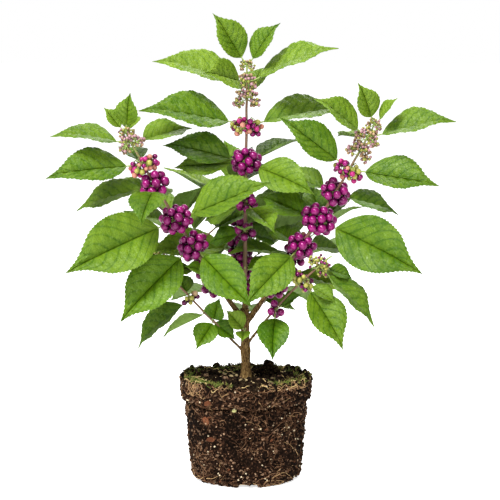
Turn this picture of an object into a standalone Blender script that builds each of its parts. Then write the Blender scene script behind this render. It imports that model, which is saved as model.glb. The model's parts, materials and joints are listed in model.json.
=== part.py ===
"""A young beautyberry shrub, lifted from its pot and standing on its root ball.

Metres, +Z up. The origin is the middle of the root ball's flat underside. +X is to the right of
the side that the fruit shows best from, and -Y is towards that side. Headings turn from +X
towards +Y, so 0 is right, 90 is the back, 180 is left and 270 is the front.

A short stem forks into shoots. Every shoot is a bare bough and a mass of foliage that carries on
from its tip: leaves in opposite pairs at each node of the shoot, with fruit round the stem between
them, ripe low down, turning higher up and in blossom or bud at the top.
"""

import math
import random
from collections import namedtuple

import bmesh
import bpy
from mathutils import Vector
from mathutils.bvhtree import BVHTree

MM = 0.001
GAP = 0.3 * MM  # between solids that meet

# Root ball, moulded by a round 100 mm nursery pot
BALL_HEIGHT = 79 * MM
COLLAR_RADIUS = 50.3 * MM
COLLAR_DEPTH = 19 * MM
BODY_RADIUS = 46.8 * MM
BASE_RADIUS = 42 * MM
EDGE_ROUND = 5 * MM
BALL_SIDES = 36
NOTCHES = 5
NOTCH_WIDTH = 16 * MM
NOTCH_HEIGHT = 2.4 * MM
NOTCH_INNER = 24 * MM
NOTCH_HEADING = 273  # of the first notch

# Stem, from the soil to just above the fork
STEM_TOP = 131 * MM
STEM_LEAN = Vector((-1.2 * MM, 0.0, 0.0))  # from the foot to the top
STEM_RADIUS = 3.3 * MM
FLARE_RADIUS = 4.3 * MM
FLARE_HEIGHT = 9 * MM
FORK_SWELL = 0.5 * MM
STEM_TAPER = 0.7 * MM
STEM_SIDES = 12
STEM_RINGS = 9

# Shoots
TIP_RADIUS = 0.75 * MM
SHOOT_STEPS = 48
BOUGH_SIDES = 8
TWIG_SIDES = 6
SPUR_SIDES = 5
TWIG_RINGS = 9
BOUGH_RINGS = 6

# Leaves. A leaf's length runs from its node to its tip, with its stalk
STALK_SHARE = 0.07
STALK_IN_FRUIT = 0.6  # share of the fruit that the stalk runs through
STALK_MOST = 0.33
STALK_RADIUS = 0.7 * MM
FULL_GROWN = 66  # mm: shorter leaves are rounder
ROUNDER = 0.4
ARCH = 0.055
FOLD = math.radians(8)
LEAF_THICKNESS = 0.013
LEAF_STATIONS = (0.0, 0.16, 0.42, 0.74)
WIDEST_AT = (0.85, 1.25)  # exponents of the outline towards the stalk and towards the tip
TIP_SPAN = (0.62, 0.92)  # where the outline draws in towards its tip
TIP_DRAWN = 0.45
LEAF_MARGIN = 1.0 * MM
CLASH_REACH = 140 * MM
CLEAR_FROM = 0.04
TURNS_TRIED = ((0, 0), (0, 8), (0, -8), (10, 0), (-10, 0), (10, 8), (-10, 8), (10, -8), (-10, -8),
               (0, 17), (0, -17), (20, 0), (-20, 0), (20, 12), (-20, 12), (20, -12), (-20, -12),
               (0, 28), (30, 0), (-30, 0), (30, 20), (-30, 20), (30, -20), (-30, -20), (45, 10), (-45, 10))

# Side twigs, which leave the nodes in the middle of the longer shoots on the side away from the front
SPUR_SHOOT = 115 * MM
SPUR_SPAN = (0.35, 0.58)
SPUR_HEADING = (25, 155)
SPUR_RISE = (5, 40)
SPUR_LENGTH = (20 * MM, 30 * MM)
SPUR_RADIUS = 0.8 * MM
SPUR_LEAVES = ((50, 10, 36), (-60, -5, 32))  # heading and rise from the side twig's, length in mm
SPUR_TURN = 25

# Fruit. A node's size runs from 0, none, to 1, a full ring of berries round the stem
RING_RADIUS = 14 * MM
RING_LEAST = 0.45  # share of it that even the least fruit fills
RING_IN_BLOSSOM = 1.0
RING_IN_BUD = 0.7
RING_FLATNESS = 0.85
HOLLOW_SHARE = 0.8  # how far out the hollows between a ring's lumps lie
BLOSSOM_FROM = 0.84
BUD_FROM = 0.95

# at: share of the shoot's length. fruit: size. leaves: (heading, rise, length in mm, turn), where
# turn tips the leaf's upper side towards the front. Angles are in degrees
Node = namedtuple("Node", "at fruit leaves")
Shoot = namedtuple("Shoot", "name foot heading rises length radius bare width nodes")

CENTRE_NODES = (
    Node(0.158, 0.0, ((215, 5, 34, 20), (20, 10, 36, 10))),
    Node(0.315, 0.3, ((147, -18, 36, 50), (40, -9, 38, 50), (268, 12, 24, 0))),
    Node(0.435, 0.45, ((301, -24, 46, 20), (140, -22, 46, 55))),
    Node(0.53, 0.0, ((60, 10, 44, 0),)),
    Node(0.60, 0.8, ((165, -6, 58, 50), (332, -21, 62, 66), (39, 15, 58, 0), (171, 11, 66, 46))),
    Node(0.753, 0.9, ((196, 9, 84, 38), (10, 7, 80, 26))),
    Node(0.853, 0.6, ((71, 30, 46, -10),)),
    Node(0.92, 0.3, ((184, 13, 73, 34), (346, 21, 75, 26), (234, 9, 54, 64))),
    Node(0.985, 0.4, ((205, 55, 48, 50), (345, 52, 41, 35))),
)
LEFT_NODES = (
    Node(0.265, 0.35, ((215, 25, 24, 50),)),
    Node(0.413, 0.8, ((208, -42, 82, 62), (331, -40, 68, 66))),
    Node(0.547, 0.95, ((205, -22, 96, 73), (344, 22, 80, 42), (150, -3, 46, 20))),
    Node(0.725, 0.75, ((163, -18, 68, 32), (262, -24, 58, 0))),
    Node(0.828, 0.75, ((200, -6, 75, 42), (112, 12, 46, 0))),
    Node(0.932, 0.55, ((192, 6, 61, 23), (32, 10, 54, 32))),
    Node(0.978, 0.4, ((289, 66, 33, 50), (182, 50, 25, 40), (75, 17, 28, 0))),
)
RIGHT_NODES = (
    Node(0.215, 0.15, ()),
    Node(0.408, 0.75, ((216, -38, 66, 64), (116, 9, 50, 40), (40, -10, 44, 40))),
    Node(0.54, 1.0, ((336, -24, 91, 79), (150, 16, 54, 50))),
    Node(0.672, 0.75, ((15, -19, 54, 31), (150, 17, 50, 30))),
    Node(0.787, 0.75, ((340, -9, 70, 45), (190, 36, 66, 48))),
    Node(0.87, 0.55, ()),
    Node(0.938, 0.5, ((345, 12, 67, 31), (200, 35, 52, 42), (127, -1, 36, 0))),
    Node(0.993, 0.4, ((225, 60, 36, 55), (328, 47, 28, 30))),
)
LOW_LEFT_NODES = (
    Node(0.34, 0.0, ((294, 58, 23, 58), (350, -38, 22, 50), (232, -50, 28, 50))),
    Node(0.43, 0.0, ((190, -28, 38, -20),)),
    Node(0.59, 0.15, ((176, -44, 58, 22), (117, 33, 28, 0))),
    Node(0.95, 0.4, ((138, 7, 36, 0),)),
)
LOW_RIGHT_NODES = (
    Node(0.385, 0.25, ((266, -46, 46, 48), (330, 30, 26, 40))),
    Node(0.71, 0.5, ((328, -55, 61, 38), (350, -40, 30, 30))),
    Node(0.88, 0.45, ((350, -47, 62, 14), (15, -30, 28, 40))),
)
SPROUT_NODES = (
    Node(0.98, 0.0, ((264, -24, 15, 0), (184, 40, 21, 50))),
)

# The back of the crown grows by rule from these: nodes on a shoot, the lowest and highest, the
# longest leaf in mm and the share of its length where the shoot bears that leaf
BACK_NODES = 5
BACK_SPAN = (0.40, 0.985)
BACK_LEAF = (40, 84)
BACK_PEAK = 0.42
BACK_RISE = (-22, 44)  # of the leaves at the lowest node and at the highest
BACK_FRUIT = (0.75, 0.35)
BACK_SHORTENING = 1.5  # how slowly leaves shorten up and down a shoot from its longest
BACK_TURN = 45  # of the lowest leaves


def back_nodes(heading, seed, longest=BACK_LEAF[1], fruits=BACK_FRUIT):
    """Opposite pairs, each a quarter turn from the one below, shorter and steeper up the shoot.
    The lowest node bears one leaf, away from the stem."""
    dice = random.Random(seed)
    nodes = []
    for i in range(BACK_NODES):
        share = i / (BACK_NODES - 1)
        at = BACK_SPAN[0] + (BACK_SPAN[1] - BACK_SPAN[0]) * share
        spread = max(math.cos((share - BACK_PEAK) * math.pi / BACK_SHORTENING), 0)
        length = BACK_LEAF[0] + (longest - BACK_LEAF[0]) * spread * dice.uniform(0.88, 1)
        rise = BACK_RISE[0] + (BACK_RISE[1] - BACK_RISE[0]) * share
        fruit = fruits[0] + (fruits[1] - fruits[0]) * share
        first = heading + (90 if i % 2 else 0) + dice.uniform(-14, 14)
        pair = []
        for side in (0, 180):
            way = first + side
            tip_to = BACK_TURN * (1 - share) * (-1 if math.sin(math.radians(way)) > 0 else 1)
            pair.append((way, rise + dice.uniform(-7, 7), length, tip_to * abs(math.cos(math.radians(way)))))
        nodes.append(Node(at, fruit, tuple(pair[:1] if i == 0 else pair)))
    return tuple(nodes)


# foot: height on the stem. rises: of the shoot at its foot and at its tip. bare: share of its
# length that is bough. width: of a leaf, as a share of its blade's length
SHOOTS = (
    Shoot("left", 121 * MM, 194, (54, 62), 176 * MM, 1.7 * MM, 0.16, 0.55, LEFT_NODES),
    Shoot("right", 120 * MM, 346, (52, 62), 184 * MM, 1.7 * MM, 0.16, 0.55, RIGHT_NODES),
    Shoot("centre", STEM_TOP, 0, (89.4, 89.4), 188 * MM, 1.8 * MM, 0.06, 0.55, CENTRE_NODES),
    Shoot("low_left", 96 * MM, 183, (45, 48), 104 * MM, 1.0 * MM, 0.22, 0.6, LOW_LEFT_NODES),
    Shoot("low_right", 101 * MM, 334, (54, 38), 104 * MM, 1.0 * MM, 0.22, 0.57, LOW_RIGHT_NODES),
    Shoot("back", 124 * MM, 94, (44, 51), 124 * MM, 1.5 * MM, 0.2, 0.52, back_nodes(94, 11)),
    Shoot("back_left", 119 * MM, 127, (34, 42), 118 * MM, 1.4 * MM, 0.2, 0.52, back_nodes(127, 12, 74)),
    Shoot("back_right", 117 * MM, 53, (34, 42), 118 * MM, 1.4 * MM, 0.2, 0.52, back_nodes(53, 13, 74)),
    Shoot("low_back", 103 * MM, 88, (32, 48), 108 * MM, 1.2 * MM, 0.2, 0.54, back_nodes(88, 14, 46, (0.0, 0.4))),
    Shoot("sprout", 108 * MM, 266, (30, 50), 12 * MM, 0.9 * MM, 0.0, 0.62, SPROUT_NODES),
)
NO_BOUGH = ("sprout",)  # its twig leaves the stem inside its own mass


# Growth rule

def toward(heading, rise):
    """The direction with this heading and rise, in degrees."""
    head, up = math.radians(heading), math.radians(rise)
    return Vector((math.cos(up) * math.cos(head), math.cos(up) * math.sin(head), math.sin(up)))


def stem_axis(height):
    share = (height - BALL_HEIGHT) / (STEM_TOP - BALL_HEIGHT)
    return Vector((0, 0, height)) + STEM_LEAN * share


def line_of(shoot):
    """The points of a shoot's middle line, from the stem's axis to its tip."""
    points = [stem_axis(shoot.foot)]
    step = shoot.length / SHOOT_STEPS
    for i in range(SHOOT_STEPS):
        share = (i + 0.5) / SHOOT_STEPS
        rise = shoot.rises[0] + (shoot.rises[1] - shoot.rises[0]) * share
        points.append(points[-1] + toward(shoot.heading, rise) * step)
    return points


def place_on(line, share):
    """The point at this share of a line, and the direction in which the line runs there."""
    at = min(max(share, 0.0), 1.0) * (len(line) - 1)
    i = min(int(at), len(line) - 2)
    run = line[i + 1] - line[i]
    return line[i] + run * (at - i), run.normalized()


def radius_on(shoot, share):
    return shoot.radius + (TIP_RADIUS - shoot.radius) * share


def ring_radius(node):
    """How far a node's fruit stands out from the middle of the stem."""
    if node.fruit <= 0:
        return 0.0
    reach = RING_RADIUS * (RING_LEAST + (1 - RING_LEAST) * node.fruit)
    if node.at > BUD_FROM:
        return reach * RING_IN_BUD
    return reach * (RING_IN_BLOSSOM if node.at > BLOSSOM_FROM else 1.0)


Blade = namedtuple("Blade", "shoot node root base tip along normal side width")
Spur = namedtuple("Spur", "shoot heading rise root end")


def blade_of(shoot, node, root, leaf, heading_by=0.0, rise_by=0.0):
    """A leaf's place: its root on the shoot, the base and tip of its blade, and its three axes."""
    heading, rise, length, turn = leaf
    along = toward(heading + heading_by, rise + rise_by)
    total = length * MM
    stalk = min(total * STALK_SHARE + STALK_IN_FRUIT * ring_radius(node), total * STALK_MOST)
    tip_to = math.radians(turn)
    facing = Vector((0, -math.sin(tip_to), math.cos(tip_to)))
    normal = (facing - along * facing.dot(along)).normalized()
    base = root + along * stalk
    tip = root + along * total
    width = shoot.width * (1 + max(ROUNDER * (1 - length / FULL_GROWN), 0))
    return Blade(shoot.name, node, root, base, tip, along, normal, along.cross(normal), width)


def half_width(share):
    """The outline of a blade, 1 where it is widest, with a drawn-out tip."""
    near, far = WIDEST_AT
    peak = near / (near + far)
    late = min(max((share - TIP_SPAN[0]) / (TIP_SPAN[1] - TIP_SPAN[0]), 0), 1)
    drawn = 1 - TIP_DRAWN * late ** 2 * (3 - 2 * late)
    return drawn * (share / peak) ** near * ((1 - share) / (1 - peak)) ** far


def blade_point(blade, share, across):
    """A point on the blade: share runs from its base to its tip, across from -1 to 1."""
    length = (blade.tip - blade.base).length
    half = blade.width * length / 2 * half_width(share) * across
    bulge = ARCH * length * 4 * share * (1 - share)
    middle = blade.base.lerp(blade.tip, share) + blade.normal * bulge
    return middle + blade.side * half * math.cos(FOLD) + blade.normal * abs(half) * math.sin(FOLD)


def blade_sections(blade, margin=0.0):
    """Four-cornered sections along a blade: left edge, upper middle, right edge, lower middle."""
    length = (blade.tip - blade.base).length
    thick = blade.normal * (length * LEAF_THICKNESS / 2 + margin)
    spare = blade.side * margin
    sections = []
    for share in LEAF_STATIONS:
        middle = blade_point(blade, share, 0)
        shy = blade.side * (STALK_RADIUS if share == 0 else 0)
        sections.append((blade_point(blade, share, -1) - spare - shy, middle + thick,
                         blade_point(blade, share, 1) + spare + shy, middle - thick))
    return sections


def loft_data(sections, tip=None):
    """Points and faces of a closed body through four-cornered or rounder sections."""
    sides = len(sections[0])
    points = [p for section in sections for p in section]
    faces = [tuple(reversed(range(sides)))]
    for row in range(len(sections) - 1):
        for i in range(sides):
            j = (i + 1) % sides
            low, high = row * sides, (row + 1) * sides
            faces.append((low + i, low + j, high + j, high + i))
    last = (len(sections) - 1) * sides
    if tip is None:
        faces.append(tuple(last + i for i in range(sides)))
    else:
        points.append(tip)
        faces += [(last + i, last + (i + 1) % sides, len(points) - 1) for i in range(sides)]
    return points, faces


def tube_sections(line, radii, sides):
    """Rings round a line, turned as little as the line allows."""
    sections = []
    across = Vector((0, 1, 0)) if abs((line[1] - line[0]).normalized().y) < 0.9 else Vector((1, 0, 0))
    for i, point in enumerate(line):
        run = (line[min(i + 1, len(line) - 1)] - line[max(i - 1, 0)]).normalized()
        across = (across - run * across.dot(run)).normalized()
        other = run.cross(across)
        angles = [2 * math.pi * k / sides for k in range(sides)]
        sections.append([point + (across * math.cos(a) + other * math.sin(a)) * radii[i] for a in angles])
    return sections


def ball_data(middle, radius, hollow=1.0):
    """Points and faces of a round body whose lumps stand out from the hollows between them."""
    shape = bmesh.new()
    bmesh.ops.create_icosphere(shape, subdivisions=2, radius=radius)
    points = []
    for vert in shape.verts:
        spot = vert.co * (1.0 if len(vert.link_edges) == 5 else hollow)
        points.append(Vector((spot.x, spot.y, spot.z * RING_FLATNESS)) + middle)
    faces = [tuple(v.index for v in f.verts) for f in shape.faces]
    shape.free()
    return points, faces


def tree_of(data):
    return BVHTree.FromPolygons(*data)


def spur_of(shoot, node, root):
    """The side twig of a node, as the heading, the rise and the two ends of its middle line."""
    if shoot.length < SPUR_SHOOT or not SPUR_SPAN[0] < node.at < SPUR_SPAN[1]:
        return None
    dice = random.Random(f"{shoot.name} {node.at:.3f}")
    heading, rise = dice.uniform(*SPUR_HEADING), dice.uniform(*SPUR_RISE)
    reach = dice.uniform(*SPUR_LENGTH) + STALK_IN_FRUIT * ring_radius(node)
    return Spur(shoot.name, heading, rise, root, root + toward(heading, rise) * reach)


def spur_data(spur, spare=0.0):
    spots = [spur.root, spur.root.lerp(spur.end, 0.5), spur.end]
    return loft_data(tube_sections(spots, [SPUR_RADIUS + spare] * 3, SPUR_SIDES))


def obstacles(lines):
    """Shoots and fruit, as (shoot, share, middle, surface), that no blade but their own may touch.

    A bough and the stem have no blades of their own, so they name no shoot.
    """
    taken = []
    for shoot in SHOOTS:
        line = lines[shoot.name]
        for owner, last in ((shoot.name, 1.0), (None, max(shoot.bare, 2 * CLEAR_FROM))):
            shares = [CLEAR_FROM + (last - CLEAR_FROM) * i / 8 for i in range(9)]
            spots = [place_on(line, share)[0] for share in shares]
            radii = [radius_on(shoot, share) + LEAF_MARGIN for share in shares]
            taken.append((owner, None, spots[4], tree_of(loft_data(tube_sections(spots, radii, TWIG_SIDES)))))
        for node in shoot.nodes:
            if node.fruit > 0:
                middle = place_on(line, node.at)[0]
                taken.append((shoot.name, node.at, middle, tree_of(ball_data(middle, ring_radius(node) + LEAF_MARGIN))))
    ends = [stem_axis(BALL_HEIGHT), stem_axis(STEM_TOP)]
    stem = loft_data(tube_sections(ends, [STEM_RADIUS + LEAF_MARGIN] * 2, TWIG_SIDES))
    taken.append((None, None, ends[1], tree_of(stem)))
    return taken


def grow():
    """The line of each shoot, every blade that finds room and the side twigs that bear any.

    A blade that would touch another shoot, its fruit or an earlier blade is turned in small steps,
    and is skipped if none of them clears it. A side twig that would touch any of them is left out.
    """
    lines = {shoot.name: line_of(shoot) for shoot in SHOOTS}
    taken = obstacles(lines)
    blades, spurs = [], []

    def is_clear(tree, middle, shoot, node):
        near = (other for name, at, spot, other in taken
                if (spot - middle).length < CLASH_REACH
                and not (name == shoot.name and (at is None or at == node.at)))
        return not any(tree.overlap(other) for other in near)

    def place(shoot, node, root, leaf):
        for heading_by, rise_by in TURNS_TRIED:
            blade = blade_of(shoot, node, root, leaf, heading_by, rise_by)
            middle = blade.base.lerp(blade.tip, 0.5)
            tree = tree_of(loft_data(blade_sections(blade, LEAF_MARGIN), blade.tip))
            if is_clear(tree, middle, shoot, node):
                blades.append(blade)
                taken.append((None, None, middle, tree))
                return True
        return False

    for shoot in SHOOTS:
        for node in shoot.nodes:
            for leaf in node.leaves:
                place(shoot, node, place_on(lines[shoot.name], node.at)[0], leaf)
    for shoot in SHOOTS:
        for node in shoot.nodes:
            spur = spur_of(shoot, node, place_on(lines[shoot.name], node.at)[0])
            if not spur:
                continue
            tree = tree_of(spur_data(spur, LEAF_MARGIN))
            if is_clear(tree, spur.end, shoot, node):
                bare = node._replace(fruit=0.0)
                borne = [place(shoot, bare, spur.end, (spur.heading + by, spur.rise + up, length, SPUR_TURN))
                         for by, up, length in SPUR_LEAVES]
                if any(borne):
                    spurs.append(spur)
                    taken.append((None, None, spur.end, tree))
    return lines, blades, spurs


# Modelling

def clear_scene():
    for obj in list(bpy.data.objects):
        bpy.data.objects.remove(obj)


def finish(name, colour, roughness):
    material = bpy.data.materials.new(name)
    material.use_nodes = True
    shader = material.node_tree.nodes["Principled BSDF"]
    shader.inputs["Base Color"].default_value = (*colour, 1)
    shader.inputs["Roughness"].default_value = roughness
    return material


def new_object(name, points, faces, material=None, smooth=False):
    mesh = bpy.data.meshes.new(name)
    mesh.from_pydata([tuple(p) for p in points], [], faces)
    shape = bmesh.new()
    shape.from_mesh(mesh)
    bmesh.ops.recalc_face_normals(shape, faces=shape.faces)
    shape.to_mesh(mesh)
    shape.free()
    if material:
        mesh.materials.append(material)
    if smooth:
        mesh.shade_smooth()
        mesh.set_sharp_from_angle(angle=math.radians(45))
    obj = bpy.data.objects.new(name, mesh)
    bpy.context.scene.collection.objects.link(obj)
    return obj


def apply_modifiers(obj):
    bpy.context.view_layer.objects.active = obj
    for modifier in list(obj.modifiers):
        with bpy.context.temp_override(object=obj, active_object=obj):
            bpy.ops.object.modifier_apply(modifier=modifier.name)


def cut(obj, cutters):
    """Takes each cutter away from the object, and then removes the cutters."""
    for cutter in cutters:
        away = obj.modifiers.new("Cut", "BOOLEAN")
        away.operation = "DIFFERENCE"
        away.object = cutter
    apply_modifiers(obj)
    for cutter in cutters:
        bpy.data.objects.remove(cutter)


def fuse(obj, pieces):
    """Joins the pieces to the object by one union on their collection, and then removes them."""
    group = bpy.data.collections.new(obj.name + "_pieces")
    bpy.context.scene.collection.children.link(group)
    for piece in pieces:
        bpy.context.scene.collection.objects.unlink(piece)
        group.objects.link(piece)
    join = obj.modifiers.new("Join", "BOOLEAN")
    join.operation = "UNION"
    join.operand_type = "COLLECTION"
    join.collection = group
    join.solver = "MANIFOLD"
    apply_modifiers(obj)
    for piece in pieces:
        bpy.data.objects.remove(piece)
    bpy.data.collections.remove(group)


def keep_outer_body(obj):
    """Fills what the union sealed off and drops loose scraps: only the largest closed shell stays."""
    shape = bmesh.new()
    shape.from_mesh(obj.data)
    shape.faces.ensure_lookup_table()
    unseen = set(shape.faces)
    shells = []
    while unseen:
        front = [unseen.pop()]
        shell = set(front)
        while front:
            face = front.pop()
            for edge in face.edges:
                for other in edge.link_faces:
                    if other in unseen:
                        unseen.discard(other)
                        shell.add(other)
                        front.append(other)
        shells.append(shell)
    largest = max(shells, key=len)
    spare = [face for shell in shells if shell is not largest for face in shell]
    bmesh.ops.delete(shape, geom=spare, context="FACES")
    shape.to_mesh(obj.data)
    shape.free()


def root_ball(material):
    """The pot's shape in soil and roots: a collar where the pot's rim was, and a notched foot."""
    profile = [
        (0.0, BALL_HEIGHT),
        (COLLAR_RADIUS - 2 * MM, BALL_HEIGHT),
        (COLLAR_RADIUS, BALL_HEIGHT - 2 * MM),
        (COLLAR_RADIUS - 0.8 * MM, BALL_HEIGHT - COLLAR_DEPTH + 1.5 * MM),
        (BODY_RADIUS, BALL_HEIGHT - COLLAR_DEPTH),
    ]
    for i in range(4):
        angle = math.radians(90) * i / 3
        profile.append((BASE_RADIUS - EDGE_ROUND * (1 - math.cos(angle)), EDGE_ROUND * (1 - math.sin(angle))))
    profile.append((0.0, 0.0))
    shape = bmesh.new()
    verts = [shape.verts.new((radius, 0, height)) for radius, height in profile]
    edges = [shape.edges.new(pair) for pair in zip(verts, verts[1:])]
    bmesh.ops.spin(shape, geom=verts + edges, cent=(0, 0, 0), axis=(0, 0, 1), angle=2 * math.pi,
                   steps=BALL_SIDES, use_merge=True)
    bmesh.ops.remove_doubles(shape, verts=shape.verts, dist=0.01 * MM)
    bmesh.ops.recalc_face_normals(shape, faces=shape.faces)
    mesh = bpy.data.meshes.new("root_ball")
    shape.to_mesh(mesh)
    shape.free()
    mesh.materials.append(material)
    ball = bpy.data.objects.new("root_ball", mesh)
    bpy.context.scene.collection.objects.link(ball)
    cut(ball, [notch_cutter(i) for i in range(NOTCHES)])
    ball.data.shade_smooth()
    ball.data.set_sharp_from_angle(angle=math.radians(30))


def notch_cutter(i):
    """One of the gaps between the feet of the pot, which runs out through the ball's lower edge."""
    heading = NOTCH_HEADING + 360 * i / NOTCHES
    out, across, up = toward(heading, 0), toward(heading + 90, 0), Vector((0, 0, 1))
    sections = []
    for reach in (NOTCH_INNER, BASE_RADIUS + 5 * MM):
        middle = out * reach
        wide = across * NOTCH_WIDTH / 2
        sections.append([middle - wide - up * MM, middle + wide - up * MM,
                         middle + wide * 0.7 + up * NOTCH_HEIGHT, middle - wide * 0.7 + up * NOTCH_HEIGHT])
    return new_object(f"notch_{i}", *loft_data(sections))


def stem_radius(height, spare=0.0):
    """The stem narrows upwards, flares at the soil and swells a little at the fork."""
    above = (height - BALL_HEIGHT) / FLARE_HEIGHT
    flare = (FLARE_RADIUS - STEM_RADIUS) * max(0.0, 1 - above) ** 2
    swell = FORK_SWELL * math.exp(-((height - SHOOTS[0].foot) / (5 * MM)) ** 2)
    taper = STEM_TAPER * (height - BALL_HEIGHT) / (STEM_TOP - BALL_HEIGHT)
    return STEM_RADIUS + flare + swell - taper + spare


def stem_body(name, low, high, spare, material=None):
    heights = [low + (high - low) * i / (STEM_RINGS - 1) for i in range(STEM_RINGS)]
    line = [stem_axis(h) for h in heights]
    radii = [stem_radius(min(h, STEM_TOP), spare) for h in heights]
    return new_object(name, *loft_data(tube_sections(line, radii, STEM_SIDES)), material, smooth=True)


def limb(name, shoot, line, shares, sides, material):
    spots = [place_on(line, share)[0] for share in shares]
    radii = [radius_on(shoot, share) for share in shares]
    return new_object(name, *loft_data(tube_sections(spots, radii, sides)), material, smooth=True)


def bough(shoot, line, material):
    """The bare foot of a shoot, shaped to the side of the stem that it leaves."""
    above_stem = shoot.foot >= STEM_TOP
    start = GAP / shoot.length if above_stem else 0.0
    shares = [start + (shoot.bare - start) * i / (BOUGH_RINGS - 1) for i in range(BOUGH_RINGS)]
    made = limb(f"{shoot.name}_bough", shoot, line, shares, BOUGH_SIDES, material)
    if not above_stem:
        cut(made, [stem_body("stem_room", BALL_HEIGHT, STEM_TOP, GAP)])
        keep_outer_body(made)


def leaf_piece(blade):
    """A leaf with its stalk in one body. The stalk's root is sunk in the middle of the twig."""
    shy = blade.normal * STALK_RADIUS
    wide = blade.side * STALK_RADIUS
    root = (blade.root - wide, blade.root + shy, blade.root + wide, blade.root - shy)
    return new_object("leaf", *loft_data([root, *blade_sections(blade)], blade.tip))


def fruit_piece(node, line):
    """The fruit, or blossom, round one node, as one lumpy ball with the stem through it."""
    middle = place_on(line, node.at)[0]
    return new_object("fruit", *ball_data(middle, ring_radius(node), HOLLOW_SHARE))


def spur_piece(spur):
    """A side twig. Its root is sunk in the middle of the shoot's twig."""
    return new_object("spur", *spur_data(spur))


def mass(shoot, line, blades, spurs, material):
    """Foliage and fruit on the shoot's own twig, fused in one body."""
    starts_at_stem = shoot.name in NO_BOUGH
    first = shoot.bare + GAP / shoot.length
    shares = [first + (1 - first) * i / (TWIG_RINGS - 1) for i in range(TWIG_RINGS)]
    twig = limb(f"{shoot.name}_mass", shoot, line, shares, TWIG_SIDES, material)
    pieces = [leaf_piece(blade) for blade in blades if blade.shoot == shoot.name]
    pieces += [spur_piece(spur) for spur in spurs if spur.shoot == shoot.name]
    pieces += [fruit_piece(node, line) for node in shoot.nodes if node.fruit > 0]
    fuse(twig, pieces)
    if starts_at_stem:
        cut(twig, [stem_body("stem_room", BALL_HEIGHT, STEM_TOP, GAP)])
    keep_outer_body(twig)
    twig.data.shade_flat()


def build():
    clear_scene()
    soil = finish("soil and roots", (0.09, 0.055, 0.035), 0.95)
    bark = finish("bark", (0.22, 0.14, 0.075), 0.8)
    foliage = finish("foliage", (0.13, 0.30, 0.04), 0.55)
    root_ball(soil)
    stem_body("trunk", BALL_HEIGHT + GAP, STEM_TOP, 0.0, bark)
    lines, blades, spurs = grow()
    for shoot in SHOOTS:
        if shoot.name not in NO_BOUGH:
            bough(shoot, lines[shoot.name], bark)
        mass(shoot, lines[shoot.name], blades, spurs, foliage)


build()
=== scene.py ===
"""Looks of the beautyberry shrub on its root ball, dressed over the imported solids.

Metres, +Z up. Leaves, twigs and fruit grow by the same rule as the solids, written again here, and
are carried on to veins, teeth, stalks and single berries within the same reach. Headings turn from
+X towards +Y, in degrees, so 0 is right, 90 is the back, 180 is left and 270 is the front.
"""

import json
import math
import random
from collections import namedtuple

import bmesh
import bpy
import numpy as np
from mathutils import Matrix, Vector, noise
from mathutils.bvhtree import BVHTree

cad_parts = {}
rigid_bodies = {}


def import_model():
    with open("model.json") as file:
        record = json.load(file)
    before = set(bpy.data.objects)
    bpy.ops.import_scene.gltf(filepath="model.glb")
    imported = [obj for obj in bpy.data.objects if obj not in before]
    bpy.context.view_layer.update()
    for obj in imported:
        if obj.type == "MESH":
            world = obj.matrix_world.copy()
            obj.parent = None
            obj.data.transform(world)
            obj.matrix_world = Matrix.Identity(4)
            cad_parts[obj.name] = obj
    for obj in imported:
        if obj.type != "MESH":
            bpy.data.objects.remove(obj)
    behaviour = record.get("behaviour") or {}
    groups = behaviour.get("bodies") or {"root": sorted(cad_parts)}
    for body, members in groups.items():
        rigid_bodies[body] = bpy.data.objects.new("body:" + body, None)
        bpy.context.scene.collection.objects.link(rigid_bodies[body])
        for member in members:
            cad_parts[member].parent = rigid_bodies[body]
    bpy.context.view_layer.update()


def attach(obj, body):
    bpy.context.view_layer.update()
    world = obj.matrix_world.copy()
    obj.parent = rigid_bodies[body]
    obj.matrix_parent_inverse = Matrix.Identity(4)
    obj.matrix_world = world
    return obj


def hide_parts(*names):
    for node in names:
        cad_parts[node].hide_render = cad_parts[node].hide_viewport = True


MM = 0.001

# Root ball, moulded by a round 100 mm nursery pot
BALL_HEIGHT = 79 * MM
COLLAR_RADIUS = 50.3 * MM
COLLAR_DEPTH = 19 * MM
BODY_RADIUS = 46.8 * MM
BASE_RADIUS = 42 * MM
EDGE_ROUND = 5 * MM
NOTCHES = 5
NOTCH_WIDTH = 16 * MM
NOTCH_HEIGHT = 2.4 * MM
NOTCH_INNER = 24 * MM
NOTCH_HEADING = 273  # of the first notch

# Stem, from the soil to just above the fork
STEM_TOP = 131 * MM
STEM_LEAN = Vector((-1.2 * MM, 0.0, 0.0))  # from the foot to the top
STEM_RADIUS = 3.3 * MM
FLARE_RADIUS = 4.3 * MM
FLARE_HEIGHT = 9 * MM
STEM_TAPER = 0.7 * MM

# Shoots
TIP_RADIUS = 0.75 * MM
SHOOT_STEPS = 48
TWIG_SIDES = 6
SPUR_SIDES = 5

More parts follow.
